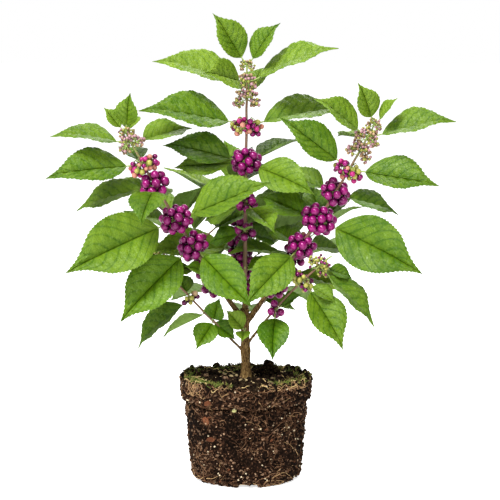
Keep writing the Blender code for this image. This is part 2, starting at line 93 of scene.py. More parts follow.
# Leaves. A leaf's length runs from its node to its tip, with its stalk
STALK_SHARE = 0.07
STALK_IN_FRUIT = 0.6  # share of the fruit that the stalk runs through
STALK_MOST = 0.33
STALK_RADIUS = 0.7 * MM
FULL_GROWN = 66  # mm: shorter leaves are rounder
ROUNDER = 0.4
ARCH = 0.055
FOLD = math.radians(8)
LEAF_THICKNESS = 0.013
LEAF_STATIONS = (0.0, 0.16, 0.42, 0.74)
WIDEST_AT = (0.85, 1.25)  # exponents of the outline towards the stalk and towards the tip
TIP_SPAN = (0.62, 0.92)  # where the outline draws in towards its tip
TIP_DRAWN = 0.45
LEAF_MARGIN = 1.0 * MM
CLASH_REACH = 140 * MM
CLEAR_FROM = 0.04
TURNS_TRIED = ((0, 0), (0, 8), (0, -8), (10, 0), (-10, 0), (10, 8), (-10, 8), (10, -8), (-10, -8),
               (0, 17), (0, -17), (20, 0), (-20, 0), (20, 12), (-20, 12), (20, -12), (-20, -12),
               (0, 28), (30, 0), (-30, 0), (30, 20), (-30, 20), (30, -20), (-30, -20), (45, 10), (-45, 10))

# Side twigs, which leave the nodes in the middle of the longer shoots on the side away from the front
SPUR_SHOOT = 115 * MM
SPUR_SPAN = (0.35, 0.58)
SPUR_HEADING = (25, 155)
SPUR_RISE = (5, 40)
SPUR_LENGTH = (20 * MM, 30 * MM)
SPUR_RADIUS = 0.8 * MM
SPUR_LEAVES = ((50, 10, 36), (-60, -5, 32))  # heading and rise from the side twig's, length in mm
SPUR_TURN = 25

# Fruit. A node's size runs from 0, none, to 1, a full ring of berries round the stem
RING_RADIUS = 14 * MM
RING_LEAST = 0.45  # share of it that even the least fruit fills
RING_IN_BLOSSOM = 1.0
RING_IN_BUD = 0.7
RING_FLATNESS = 0.85
BLOSSOM_FROM = 0.84
BUD_FROM = 0.95

# at: share of the shoot's length. fruit: size. leaves: (heading, rise, length in mm, turn), where
# turn tips the leaf's upper side towards the front. Angles are in degrees
Node = namedtuple("Node", "at fruit leaves")
Shoot = namedtuple("Shoot", "name foot heading rises length radius bare width nodes")

CENTRE_NODES = (
    Node(0.158, 0.0, ((215, 5, 34, 20), (20, 10, 36, 10))),
    Node(0.315, 0.3, ((147, -18, 36, 50), (40, -9, 38, 50), (268, 12, 24, 0))),
    Node(0.435, 0.45, ((301, -24, 46, 20), (140, -22, 46, 55))),
    Node(0.53, 0.0, ((60, 10, 44, 0),)),
    Node(0.60, 0.8, ((165, -6, 58, 50), (332, -21, 62, 66), (39, 15, 58, 0), (171, 11, 66, 46))),
    Node(0.753, 0.9, ((196, 9, 84, 38), (10, 7, 80, 26))),
    Node(0.853, 0.6, ((71, 30, 46, -10),)),
    Node(0.92, 0.3, ((184, 13, 73, 34), (346, 21, 75, 26), (234, 9, 54, 64))),
    Node(0.985, 0.4, ((205, 55, 48, 50), (345, 52, 41, 35))),
)
LEFT_NODES = (
    Node(0.265, 0.35, ((215, 25, 24, 50),)),
    Node(0.413, 0.8, ((208, -42, 82, 62), (331, -40, 68, 66))),
    Node(0.547, 0.95, ((205, -22, 96, 73), (344, 22, 80, 42), (150, -3, 46, 20))),
    Node(0.725, 0.75, ((163, -18, 68, 32), (262, -24, 58, 0))),
    Node(0.828, 0.75, ((200, -6, 75, 42), (112, 12, 46, 0))),
    Node(0.932, 0.55, ((192, 6, 61, 23), (32, 10, 54, 32))),
    Node(0.978, 0.4, ((289, 66, 33, 50), (182, 50, 25, 40), (75, 17, 28, 0))),
)
RIGHT_NODES = (
    Node(0.215, 0.15, ()),
    Node(0.408, 0.75, ((216, -38, 66, 64), (116, 9, 50, 40), (40, -10, 44, 40))),
    Node(0.54, 1.0, ((336, -24, 91, 79), (150, 16, 54, 50))),
    Node(0.672, 0.75, ((15, -19, 54, 31), (150, 17, 50, 30))),
    Node(0.787, 0.75, ((340, -9, 70, 45), (190, 36, 66, 48))),
    Node(0.87, 0.55, ()),
    Node(0.938, 0.5, ((345, 12, 67, 31), (200, 35, 52, 42), (127, -1, 36, 0))),
    Node(0.993, 0.4, ((225, 60, 36, 55), (328, 47, 28, 30))),
)
LOW_LEFT_NODES = (
    Node(0.34, 0.0, ((294, 58, 23, 58), (350, -38, 22, 50), (232, -50, 28, 50))),
    Node(0.43, 0.0, ((190, -28, 38, -20),)),
    Node(0.59, 0.15, ((176, -44, 58, 22), (117, 33, 28, 0))),
    Node(0.95, 0.4, ((138, 7, 36, 0),)),
)
LOW_RIGHT_NODES = (
    Node(0.385, 0.25, ((266, -46, 46, 48), (330, 30, 26, 40))),
    Node(0.71, 0.5, ((328, -55, 61, 38), (350, -40, 30, 30))),
    Node(0.88, 0.45, ((350, -47, 62, 14), (15, -30, 28, 40))),
)
SPROUT_NODES = (
    Node(0.98, 0.0, ((264, -24, 15, 0), (184, 40, 21, 50))),
)

# The back of the crown grows by rule from these: nodes on a shoot, the lowest and highest, the
# longest leaf in mm and the share of its length where the shoot bears that leaf
BACK_NODES = 5
BACK_SPAN = (0.40, 0.985)
BACK_LEAF = (40, 84)
BACK_PEAK = 0.42
BACK_RISE = (-22, 44)  # of the leaves at the lowest node and at the highest
BACK_FRUIT = (0.75, 0.35)
BACK_SHORTENING = 1.5  # how slowly leaves shorten up and down a shoot from its longest
BACK_TURN = 45  # of the lowest leaves


def back_nodes(heading, seed, longest=BACK_LEAF[1], fruits=BACK_FRUIT):
    """Opposite pairs, each a quarter turn from the one below, shorter and steeper up the shoot.
    The lowest node bears one leaf, away from the stem."""
    dice = random.Random(seed)
    nodes = []
    for i in range(BACK_NODES):
        share = i / (BACK_NODES - 1)
        at = BACK_SPAN[0] + (BACK_SPAN[1] - BACK_SPAN[0]) * share
        spread = max(math.cos((share - BACK_PEAK) * math.pi / BACK_SHORTENING), 0)
        length = BACK_LEAF[0] + (longest - BACK_LEAF[0]) * spread * dice.uniform(0.88, 1)
        rise = BACK_RISE[0] + (BACK_RISE[1] - BACK_RISE[0]) * share
        fruit = fruits[0] + (fruits[1] - fruits[0]) * share
        first = heading + (90 if i % 2 else 0) + dice.uniform(-14, 14)
        pair = []
        for side in (0, 180):
            way = first + side
            facing = math.radians(way)
            tip_to = BACK_TURN * (1 - share) * (-1 if math.sin(facing) > 0 else 1)
            pair.append((way, rise + dice.uniform(-7, 7), length, tip_to * abs(math.cos(facing))))
        nodes.append(Node(at, fruit, tuple(pair[:1] if i == 0 else pair)))
    return tuple(nodes)


# foot: height on the stem. rises: of the shoot at its foot and at its tip. bare: share of its
# length that is bough. width: of a leaf, as a share of its blade's length
SHOOTS = (
    Shoot("left", 121 * MM, 194, (54, 62), 176 * MM, 1.7 * MM, 0.16, 0.55, LEFT_NODES),
    Shoot("right", 120 * MM, 346, (52, 62), 184 * MM, 1.7 * MM, 0.16, 0.55, RIGHT_NODES),
    Shoot("centre", STEM_TOP, 0, (89.4, 89.4), 188 * MM, 1.8 * MM, 0.06, 0.55, CENTRE_NODES),
    Shoot("low_left", 96 * MM, 183, (45, 48), 104 * MM, 1.0 * MM, 0.22, 0.6, LOW_LEFT_NODES),
    Shoot("low_right", 101 * MM, 334, (54, 38), 104 * MM, 1.0 * MM, 0.22, 0.57, LOW_RIGHT_NODES),
    Shoot("back", 124 * MM, 94, (44, 51), 124 * MM, 1.5 * MM, 0.2, 0.52, back_nodes(94, 11)),
    Shoot("back_left", 119 * MM, 127, (34, 42), 118 * MM, 1.4 * MM, 0.2, 0.52, back_nodes(127, 12, 74)),
    Shoot("back_right", 117 * MM, 53, (34, 42), 118 * MM, 1.4 * MM, 0.2, 0.52, back_nodes(53, 13, 74)),
    Shoot("low_back", 103 * MM, 88, (32, 48), 108 * MM, 1.2 * MM, 0.2, 0.54,
          back_nodes(88, 14, 46, (0.0, 0.4))),
    Shoot("sprout", 108 * MM, 266, (30, 50), 12 * MM, 0.9 * MM, 0.0, 0.62, SPROUT_NODES),
)
NO_BOUGH = ("sprout",)  # its twig leaves the stem inside its own mass


# Growth rule

def toward(heading, rise):
    """The direction with this heading and rise, in degrees."""
    head, up = math.radians(heading), math.radians(rise)
    return Vector((math.cos(up) * math.cos(head), math.cos(up) * math.sin(head), math.sin(up)))


def stem_axis(height):
    share = (height - BALL_HEIGHT) / (STEM_TOP - BALL_HEIGHT)
    return Vector((0, 0, height)) + STEM_LEAN * share


def line_of(shoot):
    """The points of a shoot's middle line, from the stem's axis to its tip."""
    points = [stem_axis(shoot.foot)]
    step = shoot.length / SHOOT_STEPS
    for i in range(SHOOT_STEPS):
        share = (i + 0.5) / SHOOT_STEPS
        rise = shoot.rises[0] + (shoot.rises[1] - shoot.rises[0]) * share
        points.append(points[-1] + toward(shoot.heading, rise) * step)
    return points


def place_on(line, share):
    """The point at this share of a line, and the direction in which the line runs there."""
    at = min(max(share, 0.0), 1.0) * (len(line) - 1)
    i = min(int(at), len(line) - 2)
    run = line[i + 1] - line[i]
    return line[i] + run * (at - i), run.normalized()


def radius_on(shoot, share):
    return shoot.radius + (TIP_RADIUS - shoot.radius) * share


def ring_radius(node):
    """How far a node's fruit stands out from the middle of the stem."""
    if node.fruit <= 0:
        return 0.0
    reach = RING_RADIUS * (RING_LEAST + (1 - RING_LEAST) * node.fruit)
    if node.at > BUD_FROM:
        return reach * RING_IN_BUD
    return reach * (RING_IN_BLOSSOM if node.at > BLOSSOM_FROM else 1.0)


Blade = namedtuple("Blade", "shoot node root base tip along normal side width")
Spur = namedtuple("Spur", "shoot heading rise root end")


def blade_of(shoot, node, root, leaf, heading_by=0.0, rise_by=0.0):
    """A leaf's place: its root on the shoot, the base and tip of its blade, and its three axes."""
    heading, rise, length, turn = leaf
    along = toward(heading + heading_by, rise + rise_by)
    total = length * MM
    stalk = min(total * STALK_SHARE + STALK_IN_FRUIT * ring_radius(node), total * STALK_MOST)
    tip_to = math.radians(turn)
    facing = Vector((0, -math.sin(tip_to), math.cos(tip_to)))
    normal = (facing - along * facing.dot(along)).normalized()
    base = root + along * stalk
    tip = root + along * total
    width = shoot.width * (1 + max(ROUNDER * (1 - length / FULL_GROWN), 0))
    return Blade(shoot.name, node, root, base, tip, along, normal, along.cross(normal), width)


def half_width(share):
    """The outline of a blade, 1 where it is widest, with a drawn-out tip."""
    near, far = WIDEST_AT
    peak = near / (near + far)
    late = min(max((share - TIP_SPAN[0]) / (TIP_SPAN[1] - TIP_SPAN[0]), 0), 1)
    drawn = 1 - TIP_DRAWN * late ** 2 * (3 - 2 * late)
    return drawn * (share / peak) ** near * ((1 - share) / (1 - peak)) ** far


def blade_point(blade, share, across):
    """A point on the blade: share runs from its base to its tip, across from -1 to 1."""
    length = (blade.tip - blade.base).length
    half = blade.width * length / 2 * half_width(share) * across
    bulge = ARCH * length * 4 * share * (1 - share)
    middle = blade.base.lerp(blade.tip, share) + blade.normal * bulge
    return middle + blade.side * half * math.cos(FOLD) + blade.normal * abs(half) * math.sin(FOLD)


def blade_sections(blade):
    """Four-cornered sections along a blade and its margin: left edge, top, right edge, underside."""
    length = (blade.tip - blade.base).length
    thick = blade.normal * (length * LEAF_THICKNESS / 2 + LEAF_MARGIN)
    spare = blade.side * LEAF_MARGIN
    sections = []
    for share in LEAF_STATIONS:
        middle = blade_point(blade, share, 0)
        shy = blade.side * (STALK_RADIUS if share == 0 else 0)
        sections.append((blade_point(blade, share, -1) - spare - shy, middle + thick,
                         blade_point(blade, share, 1) + spare + shy, middle - thick))
    return sections


def loft_data(sections, tip=None):
    """Points and faces of a closed body through four-cornered or rounder sections."""
    sides = len(sections[0])
    points = [p for section in sections for p in section]
    faces = [tuple(reversed(range(sides)))]
    for row in range(len(sections) - 1):
        for i in range(sides):
            j = (i + 1) % sides
            low, high = row * sides, (row + 1) * sides
            faces.append((low + i, low + j, high + j, high + i))
    last = (len(sections) - 1) * sides
    if tip is None:
        faces.append(tuple(last + i for i in range(sides)))
    else:
        points.append(tip)
        faces += [(last + i, last + (i + 1) % sides, len(points) - 1) for i in range(sides)]
    return points, faces


def tube_sections(line, radii, sides):
    """Rings round a line, turned as little as the line allows."""
    sections = []
    across = Vector((0, 1, 0)) if abs((line[1] - line[0]).normalized().y) < 0.9 else Vector((1, 0, 0))
    for i, point in enumerate(line):
        run = (line[min(i + 1, len(line) - 1)] - line[max(i - 1, 0)]).normalized()
        across = (across - run * across.dot(run)).normalized()
        other = run.cross(across)
        angles = [2 * math.pi * k / sides for k in range(sides)]
        sections.append([point + (across * math.cos(a) + other * math.sin(a)) * radii[i] for a in angles])
    return sections


def ball_data(middle, radius):
    """Points and faces of the round body that a ring of fruit takes up."""
    shape = bmesh.new()
    bmesh.ops.create_icosphere(shape, subdivisions=2, radius=radius)
    points = [Vector((v.co.x, v.co.y, v.co.z * RING_FLATNESS)) + middle for v in shape.verts]
    faces = [tuple(v.index for v in f.verts) for f in shape.faces]
    shape.free()
    return points, faces


def tree_of(data):
    return BVHTree.FromPolygons(*data)


def spur_of(shoot, node, root):
    """The side twig of a node, as the heading, the rise and the two ends of its middle line."""
    if shoot.length < SPUR_SHOOT or not SPUR_SPAN[0] < node.at < SPUR_SPAN[1]:
        return None
    dice = random.Random(f"{shoot.name} {node.at:.3f}")
    heading, rise = dice.uniform(*SPUR_HEADING), dice.uniform(*SPUR_RISE)
    reach = dice.uniform(*SPUR_LENGTH) + STALK_IN_FRUIT * ring_radius(node)
    return Spur(shoot.name, heading, rise, root, root + toward(heading, rise) * reach)


def spur_tree(spur):
    spots = [spur.root, spur.root.lerp(spur.end, 0.5), spur.end]
    return tree_of(loft_data(tube_sections(spots, [SPUR_RADIUS + LEAF_MARGIN] * 3, SPUR_SIDES)))


def obstacles(lines):
    """Shoots and fruit, as (shoot, share, middle, surface), that no blade but their own may touch.

    A bough and the stem have no blades of their own, so they name no shoot.
    """
    taken = []
    for shoot in SHOOTS:
        line = lines[shoot.name]
        for owner, last in ((shoot.name, 1.0), (None, max(shoot.bare, 2 * CLEAR_FROM))):
            shares = [CLEAR_FROM + (last - CLEAR_FROM) * i / 8 for i in range(9)]
            spots = [place_on(line, share)[0] for share in shares]
            radii = [radius_on(shoot, share) + LEAF_MARGIN for share in shares]
            body = loft_data(tube_sections(spots, radii, TWIG_SIDES))
            taken.append((owner, None, spots[4], tree_of(body)))
        for node in shoot.nodes:
            if node.fruit > 0:
                middle = place_on(line, node.at)[0]
                body = ball_data(middle, ring_radius(node) + LEAF_MARGIN)
                taken.append((shoot.name, node.at, middle, tree_of(body)))
    ends = [stem_axis(BALL_HEIGHT), stem_axis(STEM_TOP)]
    stem = loft_data(tube_sections(ends, [STEM_RADIUS + LEAF_MARGIN] * 2, TWIG_SIDES))
    taken.append((None, None, ends[1], tree_of(stem)))
    return taken


def grow():
    """The line of each shoot, every blade that finds room and the side twigs that bear any.

    A blade that would touch another shoot, its fruit or an earlier blade is turned in small steps,
    and is skipped if none of them clears it. A side twig that would touch any of them is left out.
    """
    lines = {shoot.name: line_of(shoot) for shoot in SHOOTS}
    taken = obstacles(lines)
    blades, spurs = [], []

    def is_clear(tree, middle, shoot, node):
        near = (other for name, at, spot, other in taken
                if (spot - middle).length < CLASH_REACH
                and not (name == shoot.name and (at is None or at == node.at)))
        return not any(tree.overlap(other) for other in near)

    def place(shoot, node, root, leaf):
        for heading_by, rise_by in TURNS_TRIED:
            blade = blade_of(shoot, node, root, leaf, heading_by, rise_by)
            middle = blade.base.lerp(blade.tip, 0.5)
            tree = tree_of(loft_data(blade_sections(blade), blade.tip))
            if is_clear(tree, middle, shoot, node):
                blades.append(blade)
                taken.append((None, None, middle, tree))
                return True
        return False

    for shoot in SHOOTS:
        for node in shoot.nodes:
            for leaf in node.leaves:
                place(shoot, node, place_on(lines[shoot.name], node.at)[0], leaf)
    for shoot in SHOOTS:
        for node in shoot.nodes:
            spur = spur_of(shoot, node, place_on(lines[shoot.name], node.at)[0])
            if not spur:
                continue
            tree = spur_tree(spur)
            if is_clear(tree, spur.end, shoot, node):
                bare = node._replace(fruit=0.0)
                pair = [(spur.heading + by, spur.rise + up, length, SPUR_TURN)
                        for by, up, length in SPUR_LEAVES]
                if any([place(shoot, bare, spur.end, leaf) for leaf in pair]):
                    spurs.append(spur)
                    taken.append((None, None, spur.end, tree))
    return lines, blades, spurs


# Finished leaves
USUAL_LEAF = 60 * MM
LEAST_ROWS = 30
LEAF_ROWS_PER_MM = 1.15
TOOTH_ROWS = 3
LEAF_COLUMNS = (-1.0, -0.86, -0.66, -0.44, -0.22, -0.07, 0.0, 0.07, 0.22, 0.44, 0.66, 0.86, 1.0)
LEAF_THIN = 0.28 * MM
LEAF_TIP_WIDTH = 0.16 * MM
TOOTH_DEPTH = 0.72 * MM
TOOTH_LAST = 0.97  # share of the blade where its teeth end
TOOTH_FULL = 4 * MM  # teeth are shallower where half the blade is narrower than this
LEAF_WORN = 0.3  # share of its teeth's depth that the outline is drawn in by
VEIN_PAIRS = 7.0
VEIN_SWEEP = 0.3  # how far towards the tip a vein ends, as a share of the blade's length
QUILT_DEPTH = 1.8 * MM
MIDRIB_DEPTH = 0.6 * MM
MIDRIB_WIDTH = 1.2 * MM
RIDGE_WIDTH = 0.7 * MM  # of the midrib under the leaf
RAISED_EDGE = 0.45  # how steeply the halves of a leaf rise from its midrib
RAISED_BY = (-0.05, 0.09)  # and how much more from leaf to leaf
FOLD_MIDDLE = 0.28  # where across each half the fold meets the blade's plane
EDGE_HANG = 2.1 * MM  # how far the edges of a usual leaf turn down again
RIPPLE = 0.8 * MM
RIPPLE_WAVES = (1.6, 2.6)
RIPPLE_SHIFT = 1.1  # of one half of the leaf against the other
LEAF_BEND = 0.022
TIP_DROP = 0.05
TIP_DROP_FROM = 0.7
LEAF_TWIST = 9
TWIST_FROM = 0.4

# Their tints
TINT_VARIES = 0.16  # a leaf's tint goes by its share of the shoot, give or take this
FRESH_FROM = 0.88
DEEP_BELOW = 0.45
SHADE_FROM = 25 * MM  # behind the stem
# share of the shaded leaves behind the stem that take the fresh green as painted light
PAINTED_LIGHT_IN_SHADE = 0.5

# Finished twigs, stalks and buds
TWIG_STEP = 1.5 * MM
TWIG_ROUND = 8
TWIG_TUCKED = 0.97  # how much of the bough's thickness a twig keeps
TWIG_END = 0.95  # where it draws in, as a share of its length
TWIG_DRAWN = 0.05  # and over how much of it
WANDER = 0.35  # in mm
WANDER_SCALE = 90
WANDER_SEED = 7  # the wander would go by the clock without it
NODE_SWELL = 0.34
SPUR_STEPS = 6
SPUR_SAG = 0.6 * MM
STALK_SIDES = 6
STALK_THICK = (0.42, 0.22)  # in mm, of the least leaf, and what a usual one adds
STALK_USUAL = 70 * MM
STALK_TAPER = np.array((1.35, 1, 0.9, 0.9, 0.6))
BUD_SIZE = np.array((0.6, 0.6, 1.0)) * MM
BUD_RISE = 25

# Finished fruit
BERRY_RADIUS = 3.6 * MM
BERRY_SIDES = 8
BERRY_RINGS = 6
BERRY_VARIES = (0.88, 1.06)
BERRY_SMALL = (0.35, 0.78)  # share of turning berries that stay small, and how small
BERRY_SQUASH = 0.97
PEDICEL = np.array((0.28, 0.22, 0.25)) * MM
FORK_STALK = np.array((0.5, 0.42, 0.34)) * MM
FORK_REACH = 0.5
GOLDEN_ANGLE = math.pi * (3 - math.sqrt(5))
FORKS = 6
PARTINGS = 14  # rounds in which berries that overlap are moved apart
TOUCHING = 0.97  # how near two berries may be, as a share of where they touch
FRUIT_MOST = 1.04
LATER = {"low_left": 0.25, "low_right": 0.07}  # these shoots' fruit is this much less ripe
TURNING_FROM = 0.74

# Fruit by stage, ripe, turning, in blossom and in bud. size: of a berry. fill: how closely fruit
# covers the outside of its ring or lobe. least: how near the middle it may lie. out: how far out in
# its lobe it stands. lobes: to the side and up the shoot, as shares of the ring. hold: a lobe's size
Stage = namedtuple("Stage", "size fill least out lobes hold")
BLOSSOM_LOBES = ((1.0, -0.3), (-1.0, -0.3), (0.5, 0.35), (-0.5, 0.35))
STAGES = (
    Stage(1.0, 0.7, 0.5, (0.86, 1.02), ((0, 0),), 1),
    Stage(0.64, 0.72, 0.25, (0.6, 1.12), ((1.0, -0.22), (-1.0, -0.22)), 0.56),
    Stage(0.34, 0.5, 0.2, (0.55, 1.0), BLOSSOM_LOBES, 0.38),
    Stage(0.27, 0.42, 0.2, (0.55, 1.0), BLOSSOM_LOBES, 0.38),
)

# Which berry paints the fruit of each stage takes, by their order below, and the share of each
FRUIT_MIX = {0: ((0, 0.7), (1, 0.3)), 1: ((0, 0.34), (2, 0.2), (3, 0.24), (4, 0.22)),
             2: ((5, 0.38), (6, 0.42), (3, 0.2)), 3: ((3, 0.5), (5, 0.35), (6, 0.15)),
             "low": ((1, 0.3), (3, 0.6), (5, 0.1))}

# Finished stem and boughs
BARK_DEPTH = 0.3 * MM
BARK_VOXEL = 0.34 * MM
STEM_STEPS = 16
STEM_ROUND = 20
BOUGH_STEPS = 8
BOUGH_ROUND = 14
BOUGH_FLARE = 0.18
FORK_SWELL = 0.45 * MM

# Finished root ball
SOIL_SIDES = 256
SOIL_STEP = 1.3 * MM
GROOVE_DEPTH = 3.4 * MM  # under the collar
GROOVE_WAVES = 3.2
GROOVE_SAG = 3.4 * MM
GROOVE_LIFT = 1.6 * MM
RIM_RISE = 3.3 * MM  # of the ragged rim at the left and the right
RIM_BREAK = Vector((0.1, -0.995))  # where a piece has fallen out of the rim
RIM_BREAK_WIDTH = 0.16
RIM_FALL = 3 * MM
CLUMP = Vector((17 * MM, 14 * MM, BALL_HEIGHT))  # of soil beside the stem
CLUMP_RADIUS = 5.6 * MM
CLUMP_RISE = 5.4

# Roots. Where stout ones start: heading and spread in degrees. Pale mats along the rim: heading and
# spread in degrees, how many, how far down in mm
ROOT_STEP = 2.2 * MM
ROOT_PATCHES = 38.0
ROOT_BARE = 0.02
ROOT_BROWN = 0.68  # of the roots that aren't pale
ROOTED_SIDES = ((220, 14), (318, 14), (60, 40), (130, 40))
FOOT_SIDES = ((270, 12), (90, 50))
ROOT_MATS = ((217, 6, 44, 9), (296, 7, 18, 2), (316, 9, 34, 3), (252, 6, 10, 1), (70, 14, 30, 5),
             (150, 12, 24, 5))

# Moss and straw. Where moss grows: heading and spread in degrees
TUFTS = 150
TUFT_BLADES = (8, 16)
TUFT_BLADE = np.array((0.3, 0.26, 0.08)) * MM
TUFT_GREEN = 0.7
MOSS_SIDES = ((238, 11), (205, 14), (312, 8), (345, 12), (45, 20), (95, 14), (150, 20))
STRAWS = 46
STRAW = 0.3 * MM

# Crumbs and grains, and how many of each
CRUMB_KNOCK = 0.28  # how far they are knocked out of round
TOP_CRUMBS = 1300
TOP_FLAKES = 60
SIDE_CRUMBS = 4600
SIDE_GRAINS = 140
SIDE_CHIPS = 26
CLUMP_CRUMBS = 150
BLACK_ON_TOP = 0.92  # share of the crumbs there
BROWN_ON_SIDE = 0.62

# Seeds: heading and mm below the rim. Chips of bark: the same, length and width in mm
SEED_SIZE = (2.3 * MM, 1.8 * MM, 1.3 * MM)
SEEDS = ((259, 25), (20, 40), (140, 30))
CHIPS = ((235, 12, 3.6, 2.2), (230, 33, 4.2, 3.4), (234, 47, 5.0, 2.4), (40, 26, 4.2, 3.0),
         (120, 44, 4.6, 2.4))

PAINTS = {}  # every finish that is made, by its name

# Colours are in everyday 0 to 255 values, and a piece's slots follow the order of its paints here.
# Leaves: blade, hollows, veins. The hollows colour mottles each leaf and paints shade into the furrows by the
# sunken veins
# On the top the dark vein colour is painted shade in the sunken veins and midrib; the underside's pale veins
# are its own
LEAF_PAINTS = {
    "fresh leaf": ((122, 148, 42), (76, 108, 4), (58, 88, 4)),
    "leaf": ((104, 132, 26), (57, 91, 0), (42, 70, 0)),
    "deep leaf": ((92, 124, 12), (53, 89, 0), (40, 66, 0)),
    "leaf underside": ((122, 150, 72), (100, 130, 52), (140, 164, 92)),
}

# Berries and buds: tip, foot, roughness, gloss. The tip colour is painted light where a berry faces out, the
# foot painted shade where berries crowd
BERRY_PAINTS = {
    "ripe berry": ((136, 0, 96), (64, 0, 42), 0.25, 0.85),
    "dark berry": ((114, 0, 80), (52, 0, 36), 0.25, 0.85),
    "pink berry": ((176, 40, 112), (130, 12, 76), 0.36, 0.6),
    "green berry": ((168, 168, 78), (116, 122, 42), 0.35, 0.5),
    "peach berry": ((200, 140, 116), (158, 94, 74), 0.35, 0.5),
    "tan bud": ((176, 150, 114), (126, 100, 72), 0.5, 0.3),
    "mauve bud": ((186, 148, 152), (142, 104, 110), 0.5, 0.3),
}

# Grained finishes: base, light grains, dark grains, grains to the metre, relief, and the darkest body
GRAIN_PAINTS = {
    "bark": ((108, 84, 50), (152, 126, 80), (52, 36, 20), 420.0, 0.25 * MM, None),
    "wet soil": ((26, 16, 11), (70, 47, 33), (3, 2, 1), 620.0, 0.6 * MM, None),
    "crumb": ((108, 76, 55), (126, 92, 68), (5, 3, 2), 700.0, 0.2 * MM, (11, 7, 5)),
    "bark chip": ((112, 68, 46), (132, 88, 62), (70, 40, 26), 500.0, 0.2 * MM, None),
    "fibre crumb": ((158, 124, 96), (204, 170, 138), (36, 24, 16), 700.0, 0.2 * MM, (60, 40, 28)),
    "black crumb": ((48, 34, 24), (84, 68, 46), (4, 3, 2), 600.0, 0.2 * MM, (6, 4, 3)),
}
SOIL_GLOSS = 0.04
USUAL_GLOSS = 0.5

# Plain finishes: colour, roughness, gloss
PLAIN_PAINTS = {
    "green stalk": ((132, 152, 70), 0.5, USUAL_GLOSS),
    "brown root": ((90, 62, 44), 0.85, SOIL_GLOSS),
    "tan root": ((140, 106, 78), 0.85, SOIL_GLOSS),
    "pale root": ((176, 142, 98), 0.8, 0.2),
    "perlite": ((206, 188, 156), 0.8, SOIL_GLOSS),
    "dry flake": ((172, 150, 108), 0.8, USUAL_GLOSS),
    "seed": ((160, 158, 100), 0.6, USUAL_GLOSS),
    "moss": ((92, 106, 30), 0.85, USUAL_GLOSS),
    "dry moss": ((132, 112, 58), 0.85, USUAL_GLOSS),
    "straw": ((196, 168, 112), 0.8, USUAL_GLOSS),
}
TWIG_PAINTS = ("young wood", "green stalk")
ROOT_PAINTS = ("brown root", "tan root", "pale root")
CRUMB_PAINTS = ("crumb", "perlite", "bark chip", "fibre crumb", "dry flake", "seed", "black crumb")
MOSS_PAINTS = ("moss", "dry moss", "straw")
LEAF_GLOSS = 0.22
BERRY_SHEEN = (1.0, 0.48, 0.8, 1.0)
CELL_SCALE = 460.0  # cells of a leaf's net of fine veins, to the metre
PATCH_SCALE = 60.0  # dark patches of the soil, to the metre


# Shapes from arrays

class Heap:
    """Many small bodies gathered from arrays into one mesh."""

    def __init__(self):
        self.points, self.loops, self.sizes, self.slots, self.marks = [], [], [], [], []
        self.count = 0

    def add(self, points, faces, slot=0, marks=None):
        points = np.asarray(points, float).reshape(-1, 3)
        slots = slot if isinstance(slot, list) else [slot] * len(faces)
        for group, its_slot in zip(faces, slots):
            self.loops.append((group + self.count).ravel())
            self.sizes.append(np.full(len(group), group.shape[1]))
            self.slots.append(np.full(len(group), its_slot))
        self.points.append(points)
        self.marks.append(np.zeros((len(points), 3)) if marks is None else marks)
        self.count += len(points)

    def build(self, name, paints, sharp=None):
        """One object of all that was added, with the marks as a point attribute."""
        mesh = bpy.data.meshes.new(name)
        loops, sizes = np.concatenate(self.loops), np.concatenate(self.sizes)
        mesh.vertices.add(self.count)
        mesh.vertices.foreach_set("co", np.concatenate(self.points).ravel())
        mesh.loops.add(len(loops))
        mesh.loops.foreach_set("vertex_index", loops)
        mesh.polygons.add(len(sizes))
        mesh.polygons.foreach_set("loop_start", np.concatenate([[0], np.cumsum(sizes)[:-1]]))
        mesh.polygons.foreach_set("material_index", np.concatenate(self.slots))
        mesh.update(calc_edges=True)
        mark = mesh.attributes.new("mark", "FLOAT_VECTOR", "POINT")
        mark.data.foreach_set("vector", np.concatenate(self.marks).ravel())
        for paint in paints:
            mesh.materials.append(PAINTS[paint])
        mesh.polygons.foreach_set("use_smooth", np.ones(len(sizes), bool))
        if sharp:
            mesh.set_sharp_from_angle(angle=math.radians(sharp))
        made = bpy.data.objects.new(name, mesh)
        bpy.context.scene.collection.objects.link(made)
        return made


def grid_faces(rows, columns, first=0, closed=False):
    """Quads over rows of points. A closed grid joins its last column to its first."""
    i, j = np.meshgrid(np.arange(rows - 1), np.arange(columns if closed else columns - 1), indexing="ij")
    here, there = i * columns + j, i * columns + (j + 1) % columns
    return first + np.stack([here, there, there + columns, here + columns], -1).reshape(-1, 4)


def slab_faces(rows, columns):
    """The top, the underside and the rim of a thin slab between two grids of points."""
    total = rows * columns
    right = np.arange(columns - 1)
    down = np.arange(rows - 1) * columns
    ring = np.concatenate([right, down + columns - 1, total - columns + right[::-1] + 1,
                           down[::-1] + columns])
    after = np.roll(ring, -1)
    return [grid_faces(rows, columns), grid_faces(rows, columns, first=total)[:, ::-1],
            np.stack([after, ring, ring + total, after + total], -1)]


def fan(tip, ring, sides, back=False):
    """Triangles from a tip to each side of a ring of points."""
    near = np.arange(sides)
    far = (near + 1) % sides
    return np.stack([np.full(sides, tip), ring + (far if back else near), ring + (near if back else far)], -1)


